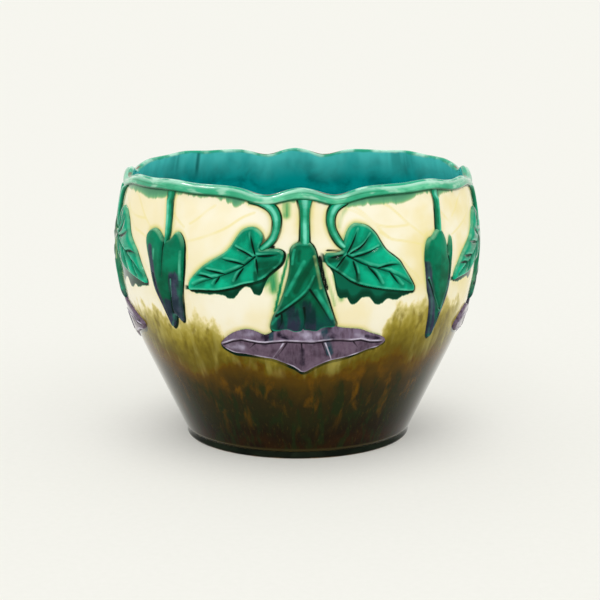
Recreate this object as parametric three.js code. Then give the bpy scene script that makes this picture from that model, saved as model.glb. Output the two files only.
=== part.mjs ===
// A glazed earthenware jardiniere with four alike faces. On each face a trumpet flower and two leaves hang from
// a vine that runs round under the lip, and a bud hangs at each corner between two faces.
import * as THREE from 'three';

const { degToRad, lerp, radToDeg, smoothstep } = THREE.MathUtils;

// Driving dimensions, in millimetres. Heights are measured up from the ground, and drops down from the rim's
// level. Angles are degrees round the pot, from the middle line of a face towards its right.

// Foot
const FOOT_RADIUS = 93.2;
const FOOT_HEIGHT = 6.3;
const FOOT_WIDTH = 9;
const FOOT_CHAMFER = 2.2;
const FOOT_LEDGE = 0.6;

// Bowl
const CONE_HEIGHT = 70;
const CONE_RADIUS = 124.3;
const BELLY_HEIGHT = 162;
const BELLY_RADIUS = 147.1;
const RIM_HEIGHT = 223;
const RIM_RADIUS = 137.8;
const RIM_SLOPE = -0.26;
const WALL_THICKNESS = 6;
const LIP_THICKNESS = 4.5;
const FLOOR_THICKNESS = 7;
const FLOOR_FILLET = 12;

// Waves of the rim: a dip over each leaf stem, narrower towards the middle of the face than away from it, and a
// rise that starts a given angle before each corner. Both die out below the rim.
const RIM_WAVE_DEPTH = 33;
const DIP_DEPTH = 5.7;
const DIP_ANGLE = 10.7;
const DIP_INNER_ANGLE = 6.3;
const DIP_OUTER_ANGLE = 7.1;
const CORNER_RISE = 1.4;
const CORNER_RISE_ANGLE = 12;

// Crease down each corner, and the angle to either side of it over which it fades
const CREASE_PROUD = 1.7;
const CREASE_ANGLE = 20;

// Vine roll under the lip
const VINE_DROP = 1.2;
const VINE_HEIGHT = 6.8;
const VINE_PROUD = 3;

// How far each raised form hangs below the rim, how tall it is, and how far it stands out from the wall. A
// leaf's notch is how far below its top the stem joins it.
const FLOWER_DROP = 40;
const FLOWER_TUBE_LENGTH = 66;
const FLOWER_TUBE_PROUD = 4.4;
const FLOWER_BELL_HEIGHT = 36.9;
const FLOWER_BELL_PROUD = 3.6;
const FLOWER_STEM_WIDTH = 7;
const FLOWER_STEM_PROUD = 3.2;
const LEAF_DROP = 26;
const LEAF_HEIGHT = 56;
const LEAF_NOTCH = 15.5;
const LEAF_PROUD = 3.2;
const LEAF_STEM_WIDTH = 5.2;
const LEAF_STEM_PROUD = 3;
const BUD_DROP = 36.5;
const OPEN_BUD_LENGTH = 73.5;
const CLOSED_BUD_LENGTH = 85;
const BUD_PROUD = 4.5;
const BUD_STEM_WIDTH = 5.2;
const BUD_STEM_PROUD = 3;

// Clearances: between a raised form and the wall behind it, and between two forms that meet end to end
const SLIP_GAP = 0.3;
const SEAM_GAP = 0.6;

// Facets round the pot, a multiple of eight so that each corner has a line of vertices, and rows of facets
const ROUND_FACETS = 96;
const OUTER_ROWS_TO_BELLY = 5;
const OUTER_ROWS_TO_LIP = 4;
const LIP_ROWS = 4;
const INNER_ROWS = 3;
const FILLET_ROWS = 3;
const STRAIGHT_STEM_ROWS = 4;

const FACE_ANGLE = 90;
const CORNER_ANGLE = FACE_ANGLE / 2;
const MM_PER_DEGREE = degToRad(BELLY_RADIUS);

// Outlines. A drop here is a share of the piece's own height, measured down from its top.

// Leaf: [angle, drop of its upper edge, of its main vein, of its lower edge], from its inner lobe to its tip
const LEAF_OUTLINE = [
  [5.5, 0.388, 0.42, 0.464],
  [6.9, 0.375, 0.438, 0.545],
  [9.1, 0.386, 0.446, 0.607],
  [11.7, 0.366, 0.446, 0.682],
  [12.8, 0.232, 0.455, 0.723],
  [14.2, 0.062, 0.486, 0.775],
  [16.2, 0, 0.562, 0.821],
  [19, 0.03, 0.634, 0.862],
  [21.9, 0.116, 0.696, 0.898],
  [24.7, 0.321, 0.754, 0.927],
  [28.1, 0.473, 0.789, 0.955],
  [31.6, 0.643, 0.87, 0.98],
  [34.4, 0.812, 0.929, 0.995],
  [36.2, 0.946, 0.973, 1],
];

// Leaf stem: [angle, share of the way from the vine down to the leaf's notch]
const LEAF_STEM_PATH = [
  [9.3, 0],
  [8.3, 0.14],
  [7.9, 0.33],
  [7.9, 0.52],
  [8.5, 0.71],
  [9.6, 0.87],
  [11, 1],
];

// Flower tube: [drop, angle of its left edge, of its middle, of its right edge]
const FLOWER_TUBE_OUTLINE = [
  [0, -1.8, 0.8, 3],
  [0.03, -2.9, 0.8, 4.1],
  [0.11, -3.2, 0.8, 4.6],
  [0.26, -3.2, 1.2, 4.9],
  [0.47, -4.3, 1.2, 6.3],
  [0.66, -5.6, 0.8, 7.7],
  [0.85, -7.9, 0.6, 9.4],
  [1, -9.4, 0.6, 10.5],
];
const FLOWER_STEM_ANGLE = 1.2;
const FLOWER_STEM_FLARE = 1.9;

// Flower bell: [angle, drop of its upper edge, of its rolled lip, of its lower edge], from left to right tip
const FLOWER_BELL_OUTLINE = [
  [-26.1, 0.371, 0.412, 0.453],
  [-23.7, 0.236, 0.377, 0.528],
  [-21.3, 0.117, 0.304, 0.583],
  [-18.6, 0.057, 0.257, 0.588],
  [-15.8, 0.014, 0.282, 0.61],
  [-13, 0.103, 0.306, 0.648],
  [-10.9, 0.154, 0.309, 0.659],
  [-8.7, 0, 0.285, 0.675],
  [-4.7, 0, 0.26, 0.778],
  [-1.9, 0, 0.266, 0.854],
  [0.8, 0, 0.268, 1],
  [4, 0, 0.282, 0.886],
  [7.1, 0, 0.263, 0.78],
  [9.9, 0, 0.236, 0.702],
  [12.4, 0, 0.247, 0.691],
  [15.8, 0, 0.274, 0.642],
  [19, 0.038, 0.274, 0.583],
  [22.1, 0.16, 0.336, 0.507],
  [24.9, 0.214, 0.355, 0.496],
  [27.7, 0.304, 0.35, 0.412],
];

// Buds: [drop, angle of the left edge, of the right edge], and the angles of the stem's upper and lower end, all
// from the corner
const OPEN_BUD = {
  length: OPEN_BUD_LENGTH,
  outline: [
    [0, -6.1, 7.3],
    [0.075, -7.8, 8.9],
    [0.252, -7.2, 8.7],
    [0.429, -6.3, 8.1],
    [0.605, -5.5, 7.5],
    [0.755, -4.5, 7.1],
    [0.878, -1.8, 6.7],
    [1, 0.2, 5.5],
  ],
  stem: [1.3, 2.5],
};
const CLOSED_BUD = {
  length: CLOSED_BUD_LENGTH,
  outline: [
    [0, -1.2, 3.4],
    [0.071, -4.1, 7.1],
    [0.194, -5.5, 8.6],
    [0.347, -5.2, 8],
    [0.5, -5.1, 7.1],
    [0.641, -4.3, 6.3],
    [0.794, -2, 4.6],
    [0.947, 0.4, 3.4],
    [1, 1.6, 2.8],
  ],
  stem: [1.9, 1.1],
};

// How full each form is across its width, as shares of how far it stands out
const STEM_SECTION = [0.4, 1, 1, 0.4];
const BELL_SECTION = [0.55, 1, 0.72, 0.66];
const ROUND_SECTION = { beforeMiddle: [0.35, 0.85], fromMiddle: [1, 0.85, 0.35] };
const LEAF_SECTION = { beforeMiddle: [0.45, 0.95, 1], fromMiddle: [0.6, 1, 0.45] };

// The vine is a D in section, with its flat back to the wall: [share of how far it stands out, of its height]
const VINE_SECTION = [
  [0, 0],
  [0.7, 0.06],
  [1, 0.35],
  [1, 0.7],
  [0.6, 0.97],
  [0, 1],
];

// Height of the rounded lip's centre, and the height of the vine's lower edge, before the rim's waves
const LIP_CENTRE = RIM_HEIGHT - LIP_THICKNESS / 2;
const VINE_TOP = RIM_HEIGHT - VINE_DROP;
const VINE_BOTTOM = VINE_TOP - VINE_HEIGHT;
const BASE_RADIUS = FOOT_RADIUS + FOOT_LEDGE;
const FLOOR_HEIGHT = FOOT_HEIGHT + FLOOR_THICKNESS;
const CONE_SLOPE = (CONE_RADIUS - BASE_RADIUS) / (CONE_HEIGHT - FOOT_HEIGHT);

// The cubic that runs from value a to value b over a length, leaving and arriving at the given slopes
function cubic(share, length, a, slopeA, b, slopeB) {
  const square = share * share;
  const cube = square * share;
  return a * (2 * cube - 3 * square + 1) + b * (3 * square - 2 * cube)
    + length * (slopeA * (cube - 2 * square + share) + slopeB * (cube - square));
}

// Outer radius of the bowl where nothing is raised: a cone, then a round belly that draws in to the rim
function profileRadius(height) {
  if (height <= CONE_HEIGHT) return BASE_RADIUS + CONE_SLOPE * (height - FOOT_HEIGHT);
  if (height <= BELLY_HEIGHT) {
    const rise = BELLY_HEIGHT - CONE_HEIGHT;
    return cubic((height - CONE_HEIGHT) / rise, rise, CONE_RADIUS, CONE_SLOPE, BELLY_RADIUS, 0);
  }
  if (height <= RIM_HEIGHT) {
    const rise = RIM_HEIGHT - BELLY_HEIGHT;
    return cubic((height - BELLY_HEIGHT) / rise, rise, BELLY_RADIUS, 0, RIM_RADIUS, RIM_SLOPE);
  }
  return RIM_RADIUS + RIM_SLOPE * (height - RIM_HEIGHT);
}

// Angle from the middle line of the nearest face, without its sign
function faceAngle(angle) {
  return Math.abs(angle - FACE_ANGLE * Math.round(angle / FACE_ANGLE));
}

// Outer radius of the bowl with the crease down its corners
function wallRadius(angle, height) {
  const away = Math.min((CORNER_ANGLE - faceAngle(angle)) / CREASE_ANGLE, 1);
  const fade = smoothstep(height, CONE_HEIGHT, BELLY_HEIGHT);
  return profileRadius(height) + CREASE_PROUD * fade * (1 - away) ** 2;
}

// Height at which something near the rim ends up once the rim's waves lift or lower it
function followRim(height, angle) {
  const across = faceAngle(angle);
  const spread = across < DIP_ANGLE ? DIP_INNER_ANGLE : DIP_OUTER_ANGLE;
  const dip = DIP_DEPTH * Math.exp(-(((across - DIP_ANGLE) / spread) ** 2));
  const rise = CORNER_RISE * smoothstep(across, CORNER_ANGLE - CORNER_RISE_ANGLE, CORNER_ANGLE);
  return height + (rise - dip) * smoothstep(height, RIM_HEIGHT - RIM_WAVE_DEPTH, LIP_CENTRE);
}

// Thickness of the wall at a height, measured level
function wallThickness(height) {
  const thinning = smoothstep(height, BELLY_HEIGHT, LIP_CENTRE);
  return lerp(WALL_THICKNESS, LIP_THICKNESS, thinning);
}

function innerRadius(height) {
  return profileRadius(height) - wallThickness(height);
}

// Turns a profile of [radius, height] points round the axis, and gives it the rim's waves and the creases
function turned(profile) {
  const points = profile.map(([radius, height]) => new THREE.Vector2(radius, height));
  const geometry = new THREE.LatheGeometry(points, ROUND_FACETS).rotateX(Math.PI / 2);
  const position = geometry.attributes.position;
  for (let i = 0; i < position.count; i += 1) {
    const [x, y, height] = [position.getX(i), position.getY(i), position.getZ(i)];
    const direction = Math.atan2(x, -y);
    const angle = radToDeg(direction);
    const level = followRim(height, angle);
    const radius = Math.hypot(x, y) + wallRadius(angle, level) - profileRadius(height);
    position.setXYZ(i, radius * Math.sin(direction), -radius * Math.cos(direction), level);
  }
  geometry.computeVertexNormals();
  return geometry;
}

// Heights spaced evenly from one to another, with both ends
function steps(from, to, count) {
  return Array.from({ length: count + 1 }, (_, i) => lerp(from, to, i / count));
}

function bowlWall() {
  const outer = [
    FOOT_HEIGHT,
    ...steps(CONE_HEIGHT, BELLY_HEIGHT, OUTER_ROWS_TO_BELLY),
    ...steps(BELLY_HEIGHT, LIP_CENTRE, OUTER_ROWS_TO_LIP).slice(1),
  ];
  const inner = [
    ...steps(LIP_CENTRE, BELLY_HEIGHT, INNER_ROWS),
    ...steps(BELLY_HEIGHT, CONE_HEIGHT, INNER_ROWS).slice(1),
  ];
  const lip = steps(0, Math.PI, LIP_ROWS).slice(1, -1).map((turn) => [
    profileRadius(LIP_CENTRE) - (LIP_THICKNESS / 2) * (1 - Math.cos(turn)),
    LIP_CENTRE + (LIP_THICKNESS / 2) * Math.sin(turn),
  ]);
  const fillet = new THREE.QuadraticBezierCurve(
    new THREE.Vector2(innerRadius(FLOOR_HEIGHT + FLOOR_FILLET), FLOOR_HEIGHT + FLOOR_FILLET),
    new THREE.Vector2(innerRadius(FLOOR_HEIGHT), FLOOR_HEIGHT),
    new THREE.Vector2(innerRadius(FLOOR_HEIGHT) - FLOOR_FILLET, FLOOR_HEIGHT),
  );
  return turned([
    [0, FOOT_HEIGHT],
    ...outer.map((height) => [profileRadius(height), height]),
    ...lip,
    ...inner.map((height) => [innerRadius(height), height]),
    ...fillet.getPoints(FILLET_ROWS).map((point) => [point.x, point.y]),
    [0, FLOOR_HEIGHT],
  ]);
}

function footRing() {
  const inner = FOOT_RADIUS - FOOT_WIDTH;
  const profile = [
    [inner + FOOT_CHAMFER, 0],
    [FOOT_RADIUS - FOOT_CHAMFER, 0],
    [FOOT_RADIUS, FOOT_CHAMFER],
    [FOOT_RADIUS, FOOT_HEIGHT],
    [inner, FOOT_HEIGHT],
    [inner, FOOT_CHAMFER],
  ];
  return turned([...profile, profile[0]]);
}

function rimVine() {
  const profile = VINE_SECTION.map(([out, up]) => {
    const height = VINE_BOTTOM + up * VINE_HEIGHT;
    return [profileRadius(height) + SLIP_GAP + out * VINE_PROUD, height];
  });
  return turned([...profile, profile[0]]);
}

// A raised form on the wall. Each rib is a row of { angle, height, proud } points across it, and the form runs
// from rib to rib. It has a front, a back that follows the wall, and sides that join the two.
function raised(ribs) {
  const across = ribs[0].length;
  const positions = [];
  for (const out of [0, 1]) {
    for (const { angle, height, proud } of ribs.flat()) {
      const radius = wallRadius(angle, height) + SLIP_GAP + out * proud;
      const direction = degToRad(angle);
      positions.push(radius * Math.sin(direction), -radius * Math.cos(direction), height);
    }
  }
  const start = ribs[0][0];
  const over = ribs[0][across - 1];
  const along = ribs[1][0];
  const handed = (over.angle - start.angle) * (along.height - start.height)
    > (along.angle - start.angle) * (over.height - start.height);
  const faces = [];
  const quad = (a, b, c, d) => faces.push(...(handed ? [a, b, c, a, c, d] : [a, c, b, a, d, c]));
  const at = (rib, place, out) => (out * ribs.length + rib) * across + place;
  const foot = ribs.length - 1;
  const edge = across - 1;
  for (let rib = 0; rib < foot; rib += 1) {
    for (let place = 0; place < edge; place += 1) {
      quad(at(rib, place, 1), at(rib, place + 1, 1), at(rib + 1, place + 1, 1), at(rib + 1, place, 1));
      quad(at(rib, place, 0), at(rib + 1, place, 0), at(rib + 1, place + 1, 0), at(rib, place + 1, 0));
    }
    quad(at(rib, 0, 1), at(rib + 1, 0, 1), at(rib + 1, 0, 0), at(rib, 0, 0));
    quad(at(rib + 1, edge, 1), at(rib, edge, 1), at(rib, edge, 0), at(rib + 1, edge, 0));
  }
  for (let place = 0; place < edge; place += 1) {
    quad(at(0, place + 1, 1), at(0, place, 1), at(0, place, 0), at(0, place + 1, 0));
    quad(at(foot, place, 1), at(foot, place + 1, 1), at(foot, place + 1, 0), at(foot, place, 0));
  }
  const geometry = new THREE.BufferGeometry();
  geometry.setAttribute('position', new THREE.Float32BufferAttribute(positions, 3));
  geometry.setIndex(faces);
  geometry.computeVertexNormals();
  return geometry;
}

// Height of the top of something that hangs from the vine's lower edge
function underVine(angle) {
  return followRim(VINE_BOTTOM, angle) - SEAM_GAP;
}

// A stem that hangs from the vine along a path of [angle, height] points. flare widens its upper end.
function stem(path, width, proud, flare = 1) {
  const ribs = path.map(([angle, height], i) => {
    const [beforeAngle, beforeHeight] = path[Math.max(i - 1, 0)];
    const [afterAngle, afterHeight] = path[Math.min(i + 1, path.length - 1)];
    const way = new THREE.Vector2((afterAngle - beforeAngle) * MM_PER_DEGREE, afterHeight - beforeHeight);
    way.normalize();
    const half = (width / 2) * (i === 0 ? flare : 1);
    return STEM_SECTION.map((share, place) => {
      const aside = half * ((2 * place) / (STEM_SECTION.length - 1) - 1);
      const placed = angle - (way.y * aside) / MM_PER_DEGREE;
      const level = i === 0 ? underVine(placed) : height + way.x * aside;
      return { angle: placed, height: level, proud: proud * share };
    });
  });
  return raised(ribs);
}

// Points spread evenly over a rib from its first edge to its middle, and from there to its last edge
function crowned(first, middle, last, { beforeMiddle, fromMiddle }, proud) {
  const places = [
    ...beforeMiddle.map((_, i) => first.clone().lerp(middle, i / beforeMiddle.length)),
    ...fromMiddle.map((_, i) => middle.clone().lerp(last, i / (fromMiddle.length - 1))),
  ];
  const shares = [...beforeMiddle, ...fromMiddle];
  return places.map((place, i) => ({ angle: place.x, height: place.y, proud: proud * shares[i] }));
}

function leaf(side) {
  const top = RIM_HEIGHT - LEAF_DROP;
  return raised(LEAF_OUTLINE.map(([angle, ...drops]) => {
    const [high, middle, low] = drops.map((drop) => (
      new THREE.Vector2(side * angle, top - drop * LEAF_HEIGHT)
    ));
    return crowned(high, middle, low, LEAF_SECTION, LEAF_PROUD);
  }));
}

function leafStem(side) {
  const notch = RIM_HEIGHT - LEAF_DROP - LEAF_NOTCH;
  const path = LEAF_STEM_PATH.map(([angle, share]) => [
    side * angle,
    lerp(underVine(LEAF_STEM_PATH[0][0]), notch, share),
  ]);
  return stem(path, LEAF_STEM_WIDTH, LEAF_STEM_PROUD);
}

function flowerTube() {
  return raised(FLOWER_TUBE_OUTLINE.map(([drop, ...angles]) => {
    const height = RIM_HEIGHT - FLOWER_DROP - drop * FLOWER_TUBE_LENGTH;
    const [left, middle, right] = angles.map((angle) => new THREE.Vector2(angle, height));
    return crowned(left, middle, right, ROUND_SECTION, FLOWER_TUBE_PROUD);
  }));
}

function flowerStem() {
  const end = RIM_HEIGHT - FLOWER_DROP + SEAM_GAP;
  const path = steps(underVine(FLOWER_STEM_ANGLE), end, STRAIGHT_STEM_ROWS).map((height) => (
    [FLOWER_STEM_ANGLE, height]
  ));
  return stem(path, FLOWER_STEM_WIDTH, FLOWER_STEM_PROUD, FLOWER_STEM_FLARE);
}

function flowerBell() {
  const top = RIM_HEIGHT - FLOWER_DROP - FLOWER_TUBE_LENGTH - SEAM_GAP;
  return raised(FLOWER_BELL_OUTLINE.map(([angle, upper, lip, lower]) => (
    [upper, lip, (lip + lower) / 2, lower].map((drop, i) => (
      { angle, height: top - drop * FLOWER_BELL_HEIGHT, proud: FLOWER_BELL_PROUD * BELL_SECTION[i] }
    ))
  )));
}

// The middle of a bud's rib lies on the corner's crease, or between its edges where both are to one side
function bud({ length, outline }) {
  return raised(outline.map(([drop, left, right]) => {
    const height = RIM_HEIGHT - BUD_DROP - drop * length;
    const middle = left < 0 ? 0 : (left + right) / 2;
    const [a, b, c] = [left, middle, right].map((angle) => (
      new THREE.Vector2(CORNER_ANGLE + angle, height)
    ));
    return crowned(a, b, c, ROUND_SECTION, BUD_PROUD);
  }));
}

function budStem({ stem: [upper, lower] }) {
  const angles = steps(CORNER_ANGLE + upper, CORNER_ANGLE + lower, STRAIGHT_STEM_ROWS);
  const heights = steps(underVine(angles[0]), RIM_HEIGHT - BUD_DROP + SEAM_GAP, STRAIGHT_STEM_ROWS);
  return stem(angles.map((angle, i) => [angle, heights[i]]), BUD_STEM_WIDTH, BUD_STEM_PROUD);
}

const GLAZE = {
  ground: { color: '#f2e9c3', roughness: 0.12 },
  foot: { color: '#12201a', roughness: 0.15 },
  vine: { color: '#6fc7a2', roughness: 0.12 },
  stem: { color: '#2fae8a', roughness: 0.12 },
  leaf: { color: '#009873', roughness: 0.12 },
  tube: { color: '#0b8466', roughness: 0.12 },
  bell: { color: '#6a5567', roughness: 0.14 },
  bud: { color: '#0f7459', roughness: 0.12 },
};

function piece(name, geometry, glaze) {
  const material = new THREE.MeshStandardMaterial({ ...GLAZE[glaze], metalness: 0 });
  const mesh = new THREE.Mesh(geometry, material);
  mesh.name = name;
  return mesh;
}

// The forms of one face, and the bud at the corner to its right
function face(side, corner, budForm) {
  const group = new THREE.Group();
  group.add(
    piece(`${side}_flower_stem`, flowerStem(), 'stem'),
    piece(`${side}_flower_tube`, flowerTube(), 'tube'),
    piece(`${side}_flower_bell`, flowerBell(), 'bell'),
    piece(`${side}_leaf_stem_left`, leafStem(-1), 'stem'),
    piece(`${side}_leaf_stem_right`, leafStem(1), 'stem'),
    piece(`${side}_leaf_left`, leaf(-1), 'leaf'),
    piece(`${side}_leaf_right`, leaf(1), 'leaf'),
    piece(`${corner}_bud_stem`, budStem(budForm), 'stem'),
    piece(`${corner}_bud`, bud(budForm), 'bud'),
  );
  return group;
}

const jardiniere = new THREE.Group();
jardiniere.add(
  piece('foot_ring', footRing(), 'foot'),
  piece('bowl_wall', bowlWall(), 'ground'),
  piece('rim_vine', rimVine(), 'vine'),
);

const faces = [
  face('front', 'front_right', CLOSED_BUD),
  face('right', 'back_right', OPEN_BUD),
  face('back', 'back_left', CLOSED_BUD),
  face('left', 'front_left', OPEN_BUD),
];
faces.forEach((group, turn) => {
  group.rotation.z = degToRad(FACE_ANGLE * turn);
  jardiniere.add(group);
});

export default jardiniere;
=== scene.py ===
import math
import bmesh
import bpy
import numpy as np
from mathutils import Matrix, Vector


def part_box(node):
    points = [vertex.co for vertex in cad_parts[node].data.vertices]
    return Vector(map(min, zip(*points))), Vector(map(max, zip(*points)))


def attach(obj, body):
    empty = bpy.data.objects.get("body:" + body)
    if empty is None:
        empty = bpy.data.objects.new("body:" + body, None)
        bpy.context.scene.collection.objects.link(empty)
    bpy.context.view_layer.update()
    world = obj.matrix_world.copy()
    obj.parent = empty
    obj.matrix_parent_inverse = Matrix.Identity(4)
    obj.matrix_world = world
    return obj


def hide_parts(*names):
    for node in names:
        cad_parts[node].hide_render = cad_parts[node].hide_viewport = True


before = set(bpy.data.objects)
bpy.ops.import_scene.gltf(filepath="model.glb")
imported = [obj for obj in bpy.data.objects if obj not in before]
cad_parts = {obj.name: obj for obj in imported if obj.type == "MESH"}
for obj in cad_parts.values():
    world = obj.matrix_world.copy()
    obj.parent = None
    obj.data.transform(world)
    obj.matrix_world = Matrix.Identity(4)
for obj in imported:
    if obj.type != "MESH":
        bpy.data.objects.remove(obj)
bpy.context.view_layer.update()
print("frame loaded with", len(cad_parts), "nodes")

# Shapes are in millimetres and degrees. Angles run round the pot, from the middle of a face to its right.
mm = 0.001
halfFace = 45
drawnRadius = 145  # the outlines are measured along a wall of this radius
arcMm = drawnRadius * math.pi / 180  # millimetres of wall to a degree there

bowl = {
    "footTop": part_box("foot_ring")[1].z / mm,
    "baseRadius": 93.8,
    "coneTop": 70,
    "coneRadius": 124.3,
    "belly": 162,
    "bellyRadius": 147.1,
    "rim": 223,
    "rimRadius": 137.8,
    "rimSlope": -0.26,
    "wall": 6,
    "lip": 4.5,
    "floor": 7,
    "fillet": 12,
    "waveDepth": 33,
    "dip": 5.7,
    "dipAngle": 10.7,
    "dipInner": 6.3,
    "dipOuter": 7.1,
    "rise": 1.4,
    "riseAngle": 12,
    "sag": 3.2,
    "sagAngle": 62,
    "sagSpread": 11,
    "crease": 1.7,
    "creaseAngle": 20,
    "turns": 600,
    "rowsInCone": 26,
    "rowsToBelly": 50,
    "rowsToLip": 44,
    "rowsRoundLip": 8,
    "rowsInside": 20,
    "rowsInFillet": 5,
    "underRings": (0, 30, 60, 82),
    "floorRings": (55, 30, 0),
    "insideFrom": 10,  # height and share of the wall's thickness from which a point counts as inside
    "insideShare": 0.6,
}
lipCentre = bowl["rim"] - bowl["lip"] / 2
coneSlope = (bowl["coneRadius"] - bowl["baseRadius"]) / (bowl["coneTop"] - bowl["footTop"])


def smoothStep(value, low, high):
    share = np.clip((value - low) / (high - low), 0, 1)
    return share * share * (3 - 2 * share)


def cubic(share, length, start, startSlope, end, endSlope):
    square = share * share
    cube = square * share
    ends = start * (2 * cube - 3 * square + 1) + end * (3 * square - 2 * cube)
    return ends + length * (startSlope * (cube - 2 * square + share) + endSlope * (cube - square))


def profileRadius(height):
    cone = bowl["baseRadius"] + coneSlope * (height - bowl["footTop"])
    low = bowl["belly"] - bowl["coneTop"]
    flank = cubic(
        (height - bowl["coneTop"]) / low, low, bowl["coneRadius"], coneSlope, bowl["bellyRadius"], 0
    )
    high = bowl["rim"] - bowl["belly"]
    shoulder = cubic(
        (height - bowl["belly"]) / high, high, bowl["bellyRadius"], 0, bowl["rimRadius"], bowl["rimSlope"]
    )
    above = bowl["rimRadius"] + bowl["rimSlope"] * (height - bowl["rim"])
    where = [height <= bowl["coneTop"], height <= bowl["belly"], height <= bowl["rim"]]
    return np.select(where, [cone, flank, shoulder], above)


def fromFace(angle):  # angle to the middle line of the nearest face, without its sign
    return np.abs(angle - 2 * halfFace * np.round(angle / (2 * halfFace)))


def wallRadius(angle, height):
    away = np.minimum((halfFace - fromFace(angle)) / bowl["creaseAngle"], 1)
    growth = smoothStep(height, bowl["coneTop"], bowl["belly"])
    return profileRadius(height) + bowl["crease"] * growth * (1 - away) ** 2


def followRim(height, angle):  # the rim's waves, which die out below it
    across = fromFace(angle)
    spread = np.where(across < bowl["dipAngle"], bowl["dipInner"], bowl["dipOuter"])
    dip = bowl["dip"] * hump(across - bowl["dipAngle"], spread)
    rise = bowl["rise"] * smoothStep(across, halfFace - bowl["riseAngle"], halfFace)
    fromSag = (angle - bowl["sagAngle"] + 180) % 360 - 180
    rise -= bowl["sag"] * hump(fromSag, bowl["sagSpread"])
    return height + (rise - dip) * smoothStep(height, bowl["rim"] - bowl["waveDepth"], lipCentre)


def roundAxis(radius, angle, height):
    direction = np.radians(angle)
    return np.stack((radius * np.sin(direction), -radius * np.cos(direction), height), axis=-1) * mm


def onWall(angle, height, proud):
    return roundAxis(wallRadius(angle, height) + proud, angle, height)


# Distances along the wall, in (across, height) points

def alongLine(points, line):  # distance to a line, and how far along it the nearest point is, as a share
    line = np.asarray(line, float)
    steps = np.diff(line, axis=0)
    lengths = np.hypot(steps[:, 0], steps[:, 1])
    travelled = np.concatenate(([0], np.cumsum(lengths)))
    nearest = np.full(len(points), 1e6)
    share = np.zeros(len(points))
    for start, step, length, before in zip(line[:-1], steps, lengths, travelled):
        onStep = np.clip((points - start) @ step / length**2, 0, 1)
        away = points - start - onStep[:, None] * step
        distance = np.hypot(away[:, 0], away[:, 1])
        closer = distance < nearest
        # dark glaze gathers round what is raised, shifted below it and to its right as painted shadow
        nearest[closer] = distance[closer]
        share[closer] = (before + onStep[closer] * length) / travelled[-1]
    return nearest, share


def insideGap(points, outline):  # distance in from an outline, negative outside it
    closed = np.vstack((outline, outline[:1]))
    distance, _ = alongLine(points, closed)
    inside = np.zeros(len(points), bool)
    for (x1, y1), (x2, y2) in zip(closed[:-1], closed[1:]):
        if y1 != y2:
            level = (y1 > points[:, 1]) != (y2 > points[:, 1])
            inside ^= level & (points[:, 0] < (x2 - x1) * (points[:, 1] - y1) / (y2 - y1) + x1)
    return np.where(inside, distance, -distance)


cornerCuts = 2


def rounded(outline):  # cuts an outline's corners
    outline = np.asarray(outline, float)
    for _ in range(cornerCuts):
        after = np.roll(outline, -1, axis=0)
        cut = np.stack((0.75 * outline + 0.25 * after, 0.25 * outline + 0.75 * after), axis=1)
        outline = cut.reshape(-1, 2)
    return outline


def smoothed(line):  # the same for an open line, whose ends stay
    line = np.asarray(line, float)
    for _ in range(cornerCuts):
        before, after = line[:-1], line[1:]
        cut = np.stack((0.75 * before + 0.25 * after, 0.25 * before + 0.75 * after), axis=1)
        line = np.vstack((line[:1], cut.reshape(-1, 2), line[-1:]))
    return line


def dome(share):  # a quarter round that rises from 0 at 0 to 1 at 1
    return np.sqrt(1 - (1 - np.clip(share, 0, 1)) ** 2)


def hump(distance, width):  # 1 at no distance, falling away in a soft curve
    return np.exp(-((distance / width) ** 2))


def lines(points, paths, width, fade):  # 1 on any of the paths, thinner and fainter towards their far ends
    strength = np.zeros(len(points))
    for path in paths:
        distance, share = alongLine(points, smoothed(path))
        thinned = 1 - fade * share
        strength = np.maximum(strength, thinned * hump(distance, width * thinned))
    return strength


def nearestLine(points, paths):
    return np.min([alongLine(points, smoothed(path))[0] for path in paths], axis=0)


# The raised forms, as (across, height) along the wall from the middle of a face, drawn to its right

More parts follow.
